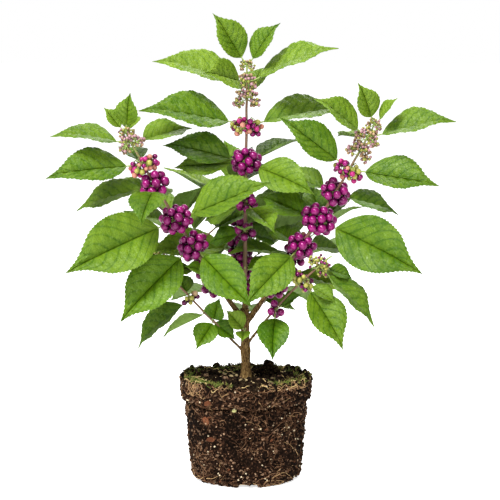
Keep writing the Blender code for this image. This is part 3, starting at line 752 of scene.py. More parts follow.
def tube(spots, radii, sides):
    """Points and faces of a tube through the spots, with both ends closed to a point."""
    spots = np.asarray(spots, float)
    radii = np.broadcast_to(np.asarray(radii, float), len(spots))
    runs = np.gradient(spots, axis=0)
    runs /= np.linalg.norm(runs, axis=1)[:, None] + 1e-12
    across = np.cross(runs, np.eye(3)[np.abs(runs[0]).argmin()])
    across /= np.linalg.norm(across, axis=1)[:, None] + 1e-12
    other = np.cross(runs, across)
    angles = (np.arange(sides) * 2 * math.pi / sides)[None, :, None]
    around = across[:, None] * np.cos(angles) + other[:, None] * np.sin(angles)
    rings = spots[:, None] + radii[:, None, None] * around
    points = np.concatenate([rings.reshape(-1, 3), spots[:1], spots[-1:]])
    total = len(spots) * sides
    caps = np.concatenate([fan(total, 0, sides, back=True), fan(total + 1, total - sides, sides)])
    return points, [grid_faces(len(spots), sides, closed=True), caps]


def ball_shape(sides, rings):
    """Points and faces of a round body of radius 1."""
    lats = np.linspace(0, math.pi, rings + 1)[1:-1]
    turns = np.arange(sides) * 2 * math.pi / sides
    points = [[math.sin(a) * math.cos(t), math.sin(a) * math.sin(t), math.cos(a)]
              for a in lats for t in turns]
    points = np.array(points + [[0, 0, 1], [0, 0, -1]])
    top = len(points) - 2
    caps = np.concatenate([fan(top, 0, sides), fan(top + 1, top - sides, sides, back=True)])
    return points, [grid_faces(len(lats), sides, closed=True)[:, ::-1], caps]


def swirl(x, y, z):
    """Noise from -1 to 1."""
    return noise.noise(Vector((x, y, z)))


def held(value):
    """The value, kept from 0 to 1."""
    return min(max(value, 0.0), 1.0)


def bell(off, width, power=2):
    """1 at no distance, falling away softly past the width."""
    return math.exp(-(off / width) ** power)


def any_turn(dice):
    return dice.uniform(0, 2 * math.pi)


def facing(out):
    """How an object is turned for its Z axis to point this way."""
    return out.to_track_quat("Z", "Y").to_euler()


# Leaves

def leaf_body(blade, dice):
    """A leaf blade: toothed outline, sunken veins with the blade quilted between them, and its own bend."""
    length = (blade.tip - blade.base).length
    grown = length / USUAL_LEAF
    rows = max(LEAST_ROWS, int(length / MM * LEAF_ROWS_PER_MM)) // TOOTH_ROWS * TOOTH_ROWS + 1
    share = np.linspace(0, 1, rows)[:, None]
    across = np.array(LEAF_COLUMNS)[None, :]
    out, which = np.abs(across), np.sign(across)

    outline = np.array([half_width(s) for s in share.ravel()])[:, None]
    half = np.maximum(blade.width * length / 2 * outline, LEAF_TIP_WIDTH)
    tooth = ((np.arange(rows) % TOOTH_ROWS) / (TOOTH_ROWS - 1))[:, None] * (out == 1)
    depth = TOOTH_DEPTH * min(1.0, grown ** 0.5) * np.clip(half / TOOTH_FULL, 0, 1)
    wide = half * across + which * depth * (tooth - LEAF_WORN * (out == 1))
    far = share * length + tooth * 0.5 * length / rows * (share < TOOTH_LAST)

    bow = length * 4 * share * (1 - share)
    wide = wide + dice.uniform(-LEAF_BEND, LEAF_BEND) * bow
    late = np.clip((share - TIP_DROP_FROM) / (1 - TIP_DROP_FROM), 0, 1)
    height = ARCH * bow - dice.uniform(0.0, TIP_DROP) * length * late ** 2
    height = height + (out - FOLD_MIDDLE) * half * (RAISED_EDGE + dice.uniform(*RAISED_BY))
    swell = np.sin(math.pi * share)
    waves, phase = dice.uniform(*RIPPLE_WAVES), any_turn(dice)
    wave = np.sin(2 * math.pi * waves * share + phase + RIPPLE_SHIFT * which)
    height += (RIPPLE * out ** 2 * wave - EDGE_HANG * out ** 2.4) * grown * swell ** 0.5

    sweep = 0.75 * out + 0.65 * out ** 2.5
    pairs = VEIN_PAIRS * (0.85 + 0.15 * grown)
    veins = pairs * (share - VEIN_SWEEP * sweep * (1 - 0.3 * share)) + 0.12 * which
    quilt = (0.5 - 0.5 * np.cos(2 * math.pi * veins)) ** 0.6
    shown = np.clip(out * 5, 0, 1) * (1 - 0.6 * out ** 4) * swell ** 0.6
    height += QUILT_DEPTH * min(1.15, grown ** 0.7) * quilt * shown
    height -= MIDRIB_DEPTH * np.exp(-(across * half / MIDRIB_WIDTH) ** 2) * (1 - share) ** 0.5

    twist = math.radians(dice.uniform(-LEAF_TWIST, LEAF_TWIST)) * (share - TWIST_FROM)
    along, normal, side, base = (np.array(v) for v in (blade.along, blade.normal, blade.side, blade.base))
    upper = (base + far[..., None] * along + (wide * np.cos(twist))[..., None] * side
             + (height + wide * np.sin(twist))[..., None] * normal)
    ridge = 0.5 * MIDRIB_DEPTH * np.exp(-(across * half / RIDGE_WIDTH) ** 2) * (1 - share)
    thin = LEAF_THIN * np.clip(half / (1.5 * MM), 0.4, 1)
    under = upper - (thin + ridge)[..., None] * normal
    marks = np.stack(np.broadcast_arrays(veins + 20, out, dice.random()), -1).reshape(-1, 3)
    points = np.concatenate([upper.reshape(-1, 3), under.reshape(-1, 3)])
    return points, slab_faces(rows, len(LEAF_COLUMNS)), np.concatenate([marks, marks])


def leaf_tint(blade, dice):
    """Which of the greens a leaf takes: fresh at a shoot's tip, and on some shaded leaves as painted light;
    deep low down in front.
    """
    age = blade.node.at + dice.uniform(-TINT_VARIES, TINT_VARIES)
    shaded = blade.base.y > SHADE_FROM
    if age > FRESH_FROM or (shaded and dice.random() < PAINTED_LIGHT_IN_SHADE):
        return 0
    return 2 if age < DEEP_BELOW and not shaded else 1


# Fruit

def fruit_stage(shoot, node):
    """How far a node's fruit has come, as its place in the stages."""
    later = node.at + LATER.get(shoot.name, 0.0)
    return sum(later > start for start in (TURNING_FROM, BLOSSOM_FROM, BUD_FROM))


def spiral_spot(i, count, tall, turned):
    """The flat part, the angle and the height of a place on a round body, spread evenly over it."""
    height = (1 - 2 * (i + 0.5) / count) * tall
    return math.sqrt(1 - height ** 2), turned + GOLDEN_ANGLE * i, height


def berries_of(shoot, node, line):
    """The middle and the stage of one ring of fruit, and the places and sizes of its berries."""
    middle, run = (np.array(v) for v in place_on(line, node.at))
    dice = random.Random(f"berries {shoot.name} {node.at:.3f}")
    at = fruit_stage(shoot, node)
    stage = STAGES[at]
    radius = BERRY_RADIUS * stage.size
    reach = ring_radius(node) + 0.6 * MM - radius
    hold = reach * stage.hold
    count = len(stage.lobes) * int(stage.fill * 4 * (hold / radius) ** 2)
    aside = np.cross(run, [0.0, 1.0, 0.0])
    aside *= (reach - hold) / np.linalg.norm(aside)
    across = np.cross(run, [0.31, 0.95, 0.1])
    across /= np.linalg.norm(across)
    other = np.cross(run, across)
    places, sizes = [], []
    turned = any_turn(dice)
    for i in range(count):
        flat, angle, height = spiral_spot(i, count, 0.93, turned)
        out, varied = hold * dice.uniform(*stage.out), dice.uniform(*BERRY_VARIES)
        spot = (across * math.cos(angle) + other * math.sin(angle)) * flat + run * height * RING_FLATNESS
        small = 1.0 if at != 1 or dice.random() > BERRY_SMALL[0] else BERRY_SMALL[1]
        sizes.append(radius * varied * small)
        sideways, up = stage.lobes[i % len(stage.lobes)]
        places.append(middle + aside * sideways + run * up * reach + spot * out)
    return middle, at, part_spots(np.array(places), np.array(sizes), middle, reach, stage.least)


def part_spots(places, sizes, middle, reach, least):
    """Moves berries off each other, and keeps them at their ring's reach."""
    same = np.eye(len(places))
    for _ in range(PARTINGS):
        apart = places[:, None] - places[None]
        gap = np.linalg.norm(apart, axis=2) + same
        short = np.clip((sizes[:, None] + sizes[None]) * TOUCHING - gap, 0, None) * (1 - same)
        places = places + (apart / gap[..., None] * short[..., None] * 0.5).sum(1)
        off = places - middle
        far = np.linalg.norm(off, axis=1)[:, None]
        places = middle + off / far * np.clip(far, least * reach, FRUIT_MOST * reach)
    return list(zip(places, sizes))


def berry_slot(stage, low, dice):
    """Which colour a berry takes at its stage of ripeness."""
    roll, total = dice.random(), 0.0
    for slot, share in FRUIT_MIX["low" if low and stage else stage]:
        total += share
        if roll < total:
            return slot
    return slot


def add_fruit(shoot, node, line, fruit, stalks, shape):
    """One node's berries into the fruit, and the stalks that fork to them into the stalks."""
    middle, stage, berries = berries_of(shoot, node, line)
    dice = random.Random(f"ripe {shoot.name} {node.at:.3f}")
    reach = ring_radius(node)
    forks = []
    for i in range(FORKS):
        flat, angle, height = spiral_spot(i, FORKS, 0.8, dice.uniform(0, 1))
        out = np.array([flat * math.cos(angle), flat * math.sin(angle), height])
        forks.append(middle + reach * FORK_REACH * out)
    used = set()
    points, faces = shape
    for spot, size in berries:
        out = (spot - middle) / np.linalg.norm(spot - middle)
        squash = np.eye(3) * BERRY_SQUASH + np.outer(out, out) * (1 - BERRY_SQUASH)
        marks = np.tile([dice.random(), 0.0, 0.0], (len(points), 1))
        # mark y: how far each point faces out of the cluster, for the berry's painted light and shade
        marks[:, 1] = (points @ out + 1) / 2
        fruit.add(spot + size * (points @ squash), faces, berry_slot(stage, shoot.name in LATER, dice), marks)
        fork = min(range(FORKS), key=lambda k: np.linalg.norm(forks[k] - spot))
        used.add(fork)
        bend = (forks[fork] + spot) / 2 + out * 0.08 * reach
        stalks.add(*tube([forks[fork], bend, spot], PEDICEL, 4), 1)
    for fork in used:
        stalks.add(*tube([middle, (middle + forks[fork]) / 2, forks[fork]], FORK_STALK, 5), 1)


# Twigs and stalks

def twig_spots(shoot, line):
    """The twig's middle line inside the mass, and its radii, which swell where leaves leave it."""
    first = max(shoot.bare - 1.0 * MM / shoot.length, 0.0)
    count = int(shoot.length * (1 - first) / TWIG_STEP) + 2
    shares = [first + (1 - first) * i / (count - 1) for i in range(count)]
    spots, radii = [], []
    for share in shares:
        near = sum(bell((share - node.at) * shoot.length, TWIG_STEP) for node in shoot.nodes)
        place = Vector((share * shoot.length * WANDER_SCALE, shoot.heading, 1))
        wander = noise.noise_vector(place) * WANDER * MM
        spots.append(place_on(line, share)[0] + wander * min((share - first) * 12, 1))
        taper = 1 - 0.35 * max(0.0, (share - TWIG_END) / TWIG_DRAWN)
        radii.append(radius_on(shoot, share) * (1 + NODE_SWELL * min(near, 1.0)) * taper * TWIG_TUCKED)
    return shares, spots, radii


def twig_marks(shares, sides):
    """How far up the shoot each point of a tube is, for its colour."""
    way = np.concatenate([np.repeat(np.array(shares), sides), [shares[0], shares[-1]]])
    return np.stack([way, np.zeros_like(way), np.zeros_like(way)], -1)


def stalk_spots(blade):
    """A leaf stalk's middle line, from the twig to a little way along the midrib."""
    start = blade.root
    end = blade.base + blade.along * (0.02 * (blade.tip - blade.base).length) - blade.normal * 0.25 * MM
    low = start.lerp(end, 0.5) - blade.normal * 0.06 * (end - start).length
    return [start, start.lerp(low, 0.5), low, low.lerp(end, 0.5), end]


def add_twigs(shoot, line, blades, spurs, twigs):
    """The shoot's twig, its side twigs, the stalks of its leaves and the buds where leaves leave it."""
    shares, spots, radii = twig_spots(shoot, line)
    twigs.add(*tube(spots, radii, TWIG_ROUND), 0, twig_marks(shares, TWIG_ROUND))
    steps = range(SPUR_STEPS + 1)
    for spur in spurs:
        dice = random.Random(f"side twig {spur.shoot} {spur.heading:.2f}")
        sag = Vector((dice.uniform(-1, 1), dice.uniform(-1, 1), -1)) * SPUR_SAG
        mids = [spur.root.lerp(spur.end, i / SPUR_STEPS) + sag * math.sin(math.pi * i / SPUR_STEPS)
                for i in steps]
        twigs.add(*tube(mids, [SPUR_RADIUS * (1.15 - 0.4 * i / SPUR_STEPS) for i in steps], 6), 0,
                  twig_marks([0.5 + 0.07 * i for i in steps], 6))
    for blade in blades:
        usual = min((blade.tip - blade.root).length / STALK_USUAL, 1.2)
        stout = (STALK_THICK[0] + STALK_THICK[1] * usual) * MM
        twigs.add(*tube(stalk_spots(blade), stout * STALK_TAPER, STALK_SIDES), 1)
    bud_points, bud_faces = ball_shape(6, 4)
    for node in shoot.nodes:
        spot, run = place_on(line, node.at)
        for turn in (0, 180):
            out = toward(shoot.heading + 90 + turn, BUD_RISE)
            place = np.array(spot + out * (radius_on(shoot, node.at) + 0.35 * MM) + run * 1.0 * MM)
            twigs.add(place + bud_points * BUD_SIZE, bud_faces, 1)


# Bark

def put_down():
    for obj in list(bpy.context.selected_objects):
        obj.select_set(False)


def take_all():
    bpy.ops.mesh.select_all(action="SELECT")


def edit_all():
    bpy.ops.object.mode_set(mode="EDIT")
    take_all()


def end_edit():
    """Turns every face outwards and leaves the mesh."""
    take_all()
    bpy.ops.mesh.normals_make_consistent(inside=False)
    bpy.ops.object.mode_set(mode="OBJECT")


def move_points(obj, rule):
    """Moves every point to where the rule puts it."""
    places = [rule(vert) for vert in obj.data.vertices]
    for vert, place in zip(obj.data.vertices, places):
        vert.co = place
    obj.data.shade_smooth()


def drawn_bar(spots, radii, sides):
    """A round bar: a disc added at its foot and drawn out from spot to spot."""
    put_down()
    run = (spots[1] - spots[0]).normalized()
    bpy.ops.mesh.primitive_circle_add(vertices=sides, radius=radii[0], fill_type="NGON", location=spots[0],
                                      rotation=facing(run))
    bar = bpy.context.active_object
    bpy.ops.object.transform_apply(location=True, rotation=True, scale=True)
    edit_all()
    for i in range(1, len(spots)):
        bpy.ops.mesh.extrude_region_move(TRANSFORM_OT_translate={"value": spots[i] - spots[i - 1]})
        bpy.ops.transform.resize(value=(radii[i] / radii[i - 1],) * 3, center_override=spots[i])
    end_edit()
    return bar


def stem_width(height):
    """The stem narrows upwards, flares at the soil and swells at the fork and where low shoots leave."""
    above = (height - BALL_HEIGHT) / FLARE_HEIGHT
    flare = (FLARE_RADIUS - STEM_RADIUS) * max(0.0, 1 - above) ** 2
    swell = sum(FORK_SWELL * bell(height - shoot.foot, 3.5 * MM) for shoot in SHOOTS[:5])
    taper = STEM_TAPER * (height - BALL_HEIGHT) / (STEM_TOP - BALL_HEIGHT)
    return STEM_RADIUS + BARK_DEPTH + flare + min(swell, 0.7 * MM) - taper


def bark_relief(spot):
    """Shallow furrows along the stem, broken by rings and by raised pores."""
    furrows = swirl(spot.x * 1500, spot.y * 1500, spot.z * 260)
    rings = max(0.0, swirl(spot.x * 90, spot.y * 90, spot.z * 420) - 0.25)
    pores = max(0.0, noise.noise(spot * 1100 + Vector((7, 3, 1))) - 0.42)
    return (0.25 * furrows + 0.2 * noise.noise(spot * 260) + 0.5 * rings + 0.5 * pores) * MM


def wood(lines):
    """The stem and the bare foot of every shoot, grown together at the forks, with the bark's relief."""
    foot = BALL_HEIGHT - 3 * MM
    heights = [foot + (STEM_TOP - foot) * i / STEM_STEPS for i in range(STEM_STEPS + 1)]
    bars = [drawn_bar([stem_axis(h) for h in heights], [stem_width(h) for h in heights], STEM_ROUND)]
    for shoot in SHOOTS:
        if shoot.name not in NO_BOUGH:
            shares = [shoot.bare * i / BOUGH_STEPS for i in range(BOUGH_STEPS + 1)]
            spots = [place_on(lines[shoot.name], share)[0] for share in shares]
            radii = [radius_on(shoot, share) * (1 + BOUGH_FLARE * max(0, 1 - i / 4) ** 2)
                     for i, share in enumerate(shares)]
            bars.append(drawn_bar(spots, radii, BOUGH_ROUND))
    put_down()
    for bar in bars:
        bar.select_set(True)
    made = bars[0]
    bpy.context.view_layer.objects.active = made
    bpy.ops.object.join()
    made.name = "stem_and_boughs"
    remesh = made.modifiers.new("Grown together", "REMESH")
    remesh.mode = "VOXEL"
    remesh.voxel_size = BARK_VOXEL
    smooth = made.modifiers.new("Rounded", "SMOOTH")
    smooth.factor = 0.5
    smooth.iterations = 5
    for modifier in list(made.modifiers):
        bpy.ops.object.modifier_apply(modifier=modifier.name)
    move_points(made, lambda vert: vert.co + vert.normal * bark_relief(vert.co))
    return made


# Root ball

def ball_profile():
    """The ball's outline from the middle of its top, over the collar and down to the middle of its foot."""
    top, under = BALL_HEIGHT, BALL_HEIGHT - COLLAR_DEPTH
    corners = [(0.0, top - 2.2 * MM), (COLLAR_RADIUS - 7 * MM, top - 2.2 * MM),
               (COLLAR_RADIUS - 1.8 * MM, top - 0.6 * MM), (COLLAR_RADIUS, top - 2 * MM),
               (COLLAR_RADIUS - 0.7 * MM, under + 3 * MM), (COLLAR_RADIUS - 1.2 * MM, under + 0.8 * MM),
               (BODY_RADIUS - GROOVE_DEPTH, under), (BODY_RADIUS, under - 3 * MM)]
    for i in range(5):
        angle = math.radians(90) * i / 4
        corners.append((BASE_RADIUS - EDGE_ROUND * (1 - math.cos(angle)), EDGE_ROUND * (1 - math.sin(angle))))
    corners.append((0.0, 0.0))
    outline = [corners[0]]
    for (r0, z0), (r1, z1) in zip(corners, corners[1:]):
        steps = max(1, round(math.hypot(r1 - r0, z1 - z0) / SOIL_STEP))
        outline += [(r0 + (r1 - r0) * i / steps, z0 + (z1 - z0) * i / steps) for i in range(1, steps + 1)]
    return outline


OUTLINE = ball_profile()
WAYS = np.concatenate([[0], np.cumsum([math.dist(a, b) for a, b in zip(OUTLINE, OUTLINE[1:])])])
OUT_R, OUT_Z = np.array(OUTLINE).T
SLOPES = np.gradient(np.array(OUTLINE), axis=0)
RIM_WAY = float(WAYS[np.argmax(OUT_R)])
FOOT_WAY = float(WAYS[np.nonzero(OUT_R >= BASE_RADIUS - EDGE_ROUND)[0][-1]])


def on_ball(way, angle):
    """A place on the ball, this far along its outline, and the outward direction there."""
    radius, height = np.interp(way, WAYS, OUT_R), np.interp(way, WAYS, OUT_Z)
    slope = Vector([np.interp(way, WAYS, SLOPES[:, i]) for i in (0, 1)]).normalized()
    spin_x, spin_y = math.cos(angle), math.sin(angle)
    return (Vector((radius * spin_x, radius * spin_y, height)),
            Vector((-slope.y * spin_x, -slope.y * spin_y, slope.x)))


def soil_relief(spot):
    """How far the soil stands out or in. The top is the roughest, with one clump beside the stem."""
    top = held((spot.z - BALL_HEIGHT + 3 * MM) / (2 * MM))
    lumps = noise.fractal(spot * 130, 1.0, 2.0, 3)
    grit = noise.noise(spot * 420) + 0.6 * noise.noise(spot * 900)
    rough = (0.9 + 1.4 * top) * lumps + (1.1 + 0.4 * top) * grit
    clump = CLUMP_RISE * top * bell((spot - CLUMP).to_2d().length, CLUMP_RADIUS, 4)
    return (rough + clump - 0.3) * MM


def groove_sag(spot):
    """How far the collar's ragged lower edge hangs or rises."""
    around = spot.to_2d().normalized() * GROOVE_WAVES
    near = bell(spot.z - BALL_HEIGHT + COLLAR_DEPTH, 5 * MM)
    return near * (GROOVE_LIFT + GROOVE_SAG * swirl(around.x, around.y, 5))


def rim_rise(spot):
    """How far the ragged rim stands up, the most at the left and the right."""
    out = spot.to_2d()
    near = bell(out.length - COLLAR_RADIUS + 2 * MM, 2.2 * MM)
    near *= held((spot.z - BALL_HEIGHT + 6 * MM) / (4 * MM))
    if near < 0.01:
        return 0.0
    out.normalize()
    ragged = 0.45 + 1.5 * swirl(out.x * 7, out.y * 7, 3)
    broken = bell((out - RIM_BREAK).length, RIM_BREAK_WIDTH)
    return near * (RIM_RISE * (0.25 + 0.75 * abs(out.x) ** 5) * max(ragged, -0.2) - RIM_FALL * broken)


def notch_lift(spot):
    """How far a notch between the feet of the pot lifts the ball's underside."""
    if spot.to_2d().length < NOTCH_INNER or spot.z > NOTCH_HEIGHT * 2.2:
        return 0.0
    for i in range(NOTCHES):
        out = toward(NOTCH_HEADING + 360 * i / NOTCHES, 0)
        if spot.dot(out) > 0:
            across = abs(spot.x * out.y - spot.y * out.x)
            side = held((NOTCH_WIDTH / 2 + 1 * MM - across) / (2.5 * MM))
            if side > 0:
                return max(0.0, NOTCH_HEIGHT * 1.15 * side - spot.z)
    return 0.0


def unevenness(spot):
    """How far a place on the ball is lifted."""
    return notch_lift(spot) + groove_sag(spot) + rim_rise(spot)


def soil():
    """The root ball's body: its outline drawn out from a point, spun round and roughened."""
    put_down()
    bpy.ops.mesh.primitive_plane_add(size=MM)
    ball = bpy.context.active_object
    ball.name = "root_ball_soil"
    edit_all()
    bpy.ops.mesh.merge(type="CENTER")
    bpy.ops.transform.translate(value=(OUTLINE[0][0], 0, OUTLINE[0][1]))
    for (r0, z0), (r1, z1) in zip(OUTLINE, OUTLINE[1:]):
        bpy.ops.mesh.extrude_vertices_move(TRANSFORM_OT_translate={"value": (r1 - r0, 0, z1 - z0)})
    take_all()
    bpy.ops.mesh.spin(steps=SOIL_SIDES, angle=2 * math.pi, center=(0, 0, 0), axis=(0, 0, 1))
    take_all()
    bpy.ops.mesh.remove_doubles(threshold=0.05 * MM)
    end_edit()

    def roughened(vert):
        place = vert.co + Vector((0, 0, unevenness(vert.co)))
        place += vert.normal * soil_relief(vert.co)
        place.z = max(place.z, 0.0)
        return place

    move_points(ball, roughened)
    return ball


def root_strand(dice, way, angle, heading, length, wander, lift, low, high):
    """A root that wanders over the ball's surface, half sunk in the soil."""
    spots = []
    for _ in range(max(4, int(length / ROOT_STEP))):
        spot, out = on_ball(way, angle)
        raised = soil_relief(spot) + lift * (0.5 + noise.noise(spot * 300 + Vector((lift * 9000, 0, 0))))
        place = spot + out * raised
        place.z = max(place.z + unevenness(spot), 0.6 * MM)
        spots.append(place)
        heading += dice.gauss(0, wander)
        way += ROOT_STEP * math.sin(heading)
        if not low < way < high:
            way = min(max(way, low), high)
            heading = -heading
        angle += ROOT_STEP * math.cos(heading) / max(spot.to_2d().length, 10 * MM)
    return spots


# Roots: how many, the band of the outline they start in, lengths and thicknesses in mm, how much
# they wander, how far they stand out in mm, the share of pale ones, sides, how steep, and where
Roots = namedtuple("Roots", "count low high lengths thick wander lift pale sides steep sides_of_ball")
ROOT_BEDS = (
    Roots(2700, RIM_WAY - 3 * MM, FOOT_WAY - 2 * MM, (4, 12), (0.14, 0.26), 0.7, 0.7, 0.03, 3, math.pi, None),
    Roots(34, RIM_WAY + 26 * MM, FOOT_WAY - 3 * MM, (12, 34), (0.22, 0.36), 0.22, 0.8, 0.25, 4, 0.9,
          ROOTED_SIDES),
    Roots(26, FOOT_WAY - 12 * MM, FOOT_WAY - 5 * MM, (14, 40), (0.24, 0.36), 0.2, 0.8, 0.4, 4, 0.4,
          ROOTED_SIDES),
    Roots(12, FOOT_WAY - 4 * MM, FOOT_WAY - 2 * MM, (10, 26), (0.2, 0.3), 0.1, 0.7, 0.8, 4, 0.15, FOOT_SIDES),
    Roots(90, RIM_WAY - 5 * MM, RIM_WAY + 4 * MM, (6, 20), (0.18, 0.3), 0.35, 1.1, 0.15, 4, 0.5, None),
)


def roots():
    """A net of fine roots over the soil, with stouter ones low down and pale mats along the rim."""
    dice = random.Random(41)
    mat = Heap()
    for bed in ROOT_BEDS:
        for _ in range(bed.count):
            angle = any_turn(dice)
            if bed.sides_of_ball:
                angle = math.radians(dice.gauss(*dice.choice(bed.sides_of_ball)))
            way = dice.uniform(bed.low, bed.high)
            heading = dice.choice((0, math.pi)) + dice.uniform(-bed.steep, bed.steep)
            spots = root_strand(dice, way, angle, heading, dice.uniform(*bed.lengths) * MM, bed.wander,
                                bed.lift * MM, bed.low - 2 * MM, min(bed.high + 2 * MM, FOOT_WAY))
            radii = np.linspace(dice.uniform(*bed.thick), 0.6 * bed.thick[0], len(spots)) * MM
            slot = 2 if dice.random() < bed.pale else 0 if dice.random() < ROOT_BROWN else 1
            if bed.sides_of_ball or noise.noise(spots[0] * ROOT_PATCHES) > ROOT_BARE:
                mat.add(*tube(spots, radii, bed.sides), slot)
    for heading, spread, count, reach in ROOT_MATS:
        for _ in range(count):
            angle = math.radians(heading + dice.gauss(0, spread))
            way = RIM_WAY + dice.uniform(-4, reach) * MM
            spots = root_strand(dice, way, angle, any_turn(dice), dice.uniform(6, 16) * MM, 0.5,
                                1.3 * MM, RIM_WAY - 6 * MM, RIM_WAY + reach * MM)
            mat.add(*tube(spots, dice.uniform(0.13, 0.24) * MM, 4), 2 if dice.random() < 0.5 else 1)
    return mat


def lump_of(dice, sizes, shape, out=None):
    """A crumb, chip or grain: a round shape knocked out of true and turned any way, or to lie flat."""
    points, faces = shape
    knocked = points * (1 + CRUMB_KNOCK * np.array([dice.uniform(-1, 1) for _ in points])[:, None])
    turn = Vector([dice.uniform(-1, 1) for _ in range(3)]).to_track_quat("Z", "Y")
    if out is not None:
        turn = out.to_track_quat("Z", "Y") @ Vector((1, dice.uniform(-1, 1), 0)).to_track_quat("X", "Z")
    return knocked * np.array(sizes) @ np.array(turn.to_matrix()).T, faces


def crumbs():
    """Crumbs of soil, chips of bark and grains of perlite, in and on the ball."""
    dice = random.Random(57)
    draw = dice.uniform
    shape, small = ball_shape(6, 4), ball_shape(5, 3)
    bits = Heap()

    def put(slot, sizes, way, sunk, flat=False, heading=None, shape=shape):
        angle = any_turn(dice) if heading is None else math.radians(heading)
        spot, out = on_ball(way, angle)
        place = spot + out * (soil_relief(spot) - sunk * sizes[2])
        place.z += unevenness(spot)
        points, faces = lump_of(dice, sizes, shape, out if flat else None)
        points = points + np.array(place)
        points[:, 2] = np.maximum(points[:, 2], 0.1 * MM)
        bits.add(points, faces, slot, np.tile([dice.random(), 0, 0], (len(points), 1)))

    for _ in range(TOP_CRUMBS):
        size = draw(0.7, 2.2) * MM
        way = RIM_WAY * math.sqrt(dice.random())
        slot = 6 if dice.random() < BLACK_ON_TOP else 3
        put(slot, (size, size * draw(0.5, 1), size * draw(0.4, 1)), way, 0.0)
    for _ in range(TOP_FLAKES):
        size = draw(1.0, 2.4) * MM
        put(4, (size, size * draw(0.3, 0.7), 0.5 * MM), RIM_WAY * draw(0.15, 0.9), -0.8)
    for _ in range(SIDE_CRUMBS):
        size = draw(0.5, 1.5) * MM
        slot = 0 if dice.random() < BROWN_ON_SIDE else 3
        put(slot, (size, size * draw(0.5, 1), size * 0.7), draw(RIM_WAY, FOOT_WAY), 0.15, shape=small)
    for _ in range(SIDE_GRAINS):
        size = draw(0.4, 0.95) * MM
        put(1, (size, size * 0.8, size * 0.7), draw(RIM_WAY - 6 * MM, FOOT_WAY), -0.5)
    for _ in range(SIDE_CHIPS):
        size = draw(1.0, 2.2) * MM
        put(2, (size, size * draw(0.35, 0.6), 0.6 * MM), draw(RIM_WAY - 20 * MM, FOOT_WAY), 0.1, flat=True)
    for heading, down in SEEDS:
        put(5, SEED_SIZE, RIM_WAY + down * MM, -0.5, True, heading)
    for heading, down, long, wide in CHIPS:
        put(2, (long * MM, wide * MM, 1.0 * MM), RIM_WAY + down * MM, 0.0, True, heading)
    for _ in range(CLUMP_CRUMBS):
        size = draw(1.0, 3.2) * MM
        angle = any_turn(dice)
        reach = abs(dice.gauss(0, 4.6)) * MM
        spot = Vector((CLUMP.x + reach * math.cos(angle), CLUMP.y + reach * math.sin(angle), BALL_HEIGHT))
        spot.z += soil_relief(spot) + draw(-0.5, 2.6) * MM * math.exp(-reach / (8 * MM))
        points, faces = lump_of(dice, (size, size * 0.6, size * 0.45), shape)
        bits.add(points + np.array(spot), faces, 6, np.tile([dice.random(), 0, 0], (len(points), 1)))
    return bits


def moss():
    """Tufts of moss round the rim, and straw lying across the soil."""
    dice = random.Random(73)
    draw = dice.uniform
    tufts = Heap()
    for _ in range(TUFTS):
        way = RIM_WAY - abs(dice.gauss(0, 7)) * MM - 1 * MM
        angle = math.radians(dice.gauss(*dice.choice(MOSS_SIDES)))
        slot = 0 if dice.random() < TUFT_GREEN else 1
        for _ in range(dice.randint(*TUFT_BLADES)):
            spot, out = on_ball(way + dice.gauss(0, 1.4) * MM, angle + dice.gauss(0, 0.035))
            spot = spot + out * (soil_relief(spot) - 0.3 * MM) + Vector((0, 0, unevenness(spot)))
            lean = Vector((draw(-1, 1), draw(-1, 1), draw(0.5, 1.6))).normalized()
            tall = draw(1.4, 4.2) * MM
            tip = spot + lean * tall + Vector((draw(-1, 1), draw(-1, 1), 0)) * 0.3 * tall
            tufts.add(*tube([spot, spot + lean * tall * 0.5, tip], TUFT_BLADE, 3), slot)
    for _ in range(STRAWS):
        way = RIM_WAY - abs(dice.gauss(0, 12)) * MM
        spots = root_strand(dice, way, any_turn(dice), any_turn(dice), draw(7, 18) * MM, 0.12, 1.8 * MM,
                            2 * MM, RIM_WAY + 3 * MM)
        tufts.add(*tube(spots, STRAW, 4), 2)
    return tufts


# Finishes

def tone(colour):
    """A paint colour from its everyday 0 to 255 values."""
    parts = [value / 255 for value in colour]
    return (*(p / 12.92 if p <= 0.04045 else ((p + 0.055) / 1.055) ** 2.4 for p in parts), 1.0)


def new_group(name, inputs, outputs):
    """An empty shader group, its inputs and its outputs. Sockets are given by kind and name."""
    tree = bpy.data.node_groups.new(name, "ShaderNodeTree")
    for side, sockets in (("INPUT", inputs), ("OUTPUT", outputs)):
        for kind, labels in sockets:
            for label in labels.split():
                tree.interface.new_socket(name=label, in_out=side, socket_type="NodeSocket" + kind)
    return tree, tree.nodes.new("NodeGroupInput").outputs, tree.nodes.new("NodeGroupOutput").inputs


def feed(tree, socket, value):
    """Links a socket, or sets it to a plain value."""
    if isinstance(value, bpy.types.NodeSocket):
        tree.links.new(value, socket)
    else:
        socket.default_value = value


def add_node(tree, kind, feeds=None, **settings):
    """A node with its settings, fed by sockets or plain values."""
    node = tree.nodes.new(kind)
    for key, value in settings.items():
        setattr(node, key, value)
    for key, value in (feeds or {}).items():
        feed(tree, node.inputs[key], value)
    return node


def maths(tree, operation, first, second, clamp=False):
    feeds = {0: first, 1: second}
    return add_node(tree, "ShaderNodeMath", feeds, operation=operation, use_clamp=clamp).outputs[0]


def times(tree, first, second):
    return maths(tree, "MULTIPLY", first, second)


def mask(tree, value, low, high):
    """1 where the value is at the second bound and 0 at the first, with a soft step between."""
    return add_node(tree, "ShaderNodeMapRange", {"Value": value, "From Min": low, "From Max": high},
                    interpolation_type="SMOOTHSTEP").outputs["Result"]


def blend(tree, share, first, second):
    """A colour between two others."""
    return add_node(tree, "ShaderNodeMix", {0: share, 6: first, 7: second}, data_type="RGBA").outputs[2]


def pattern(tree, place, scale, detail, rough=0.55):
    feeds = {"Vector": place, "Scale": scale, "Detail": detail, "Roughness": rough}
    return add_node(tree, "ShaderNodeTexNoise", feeds).outputs[0]


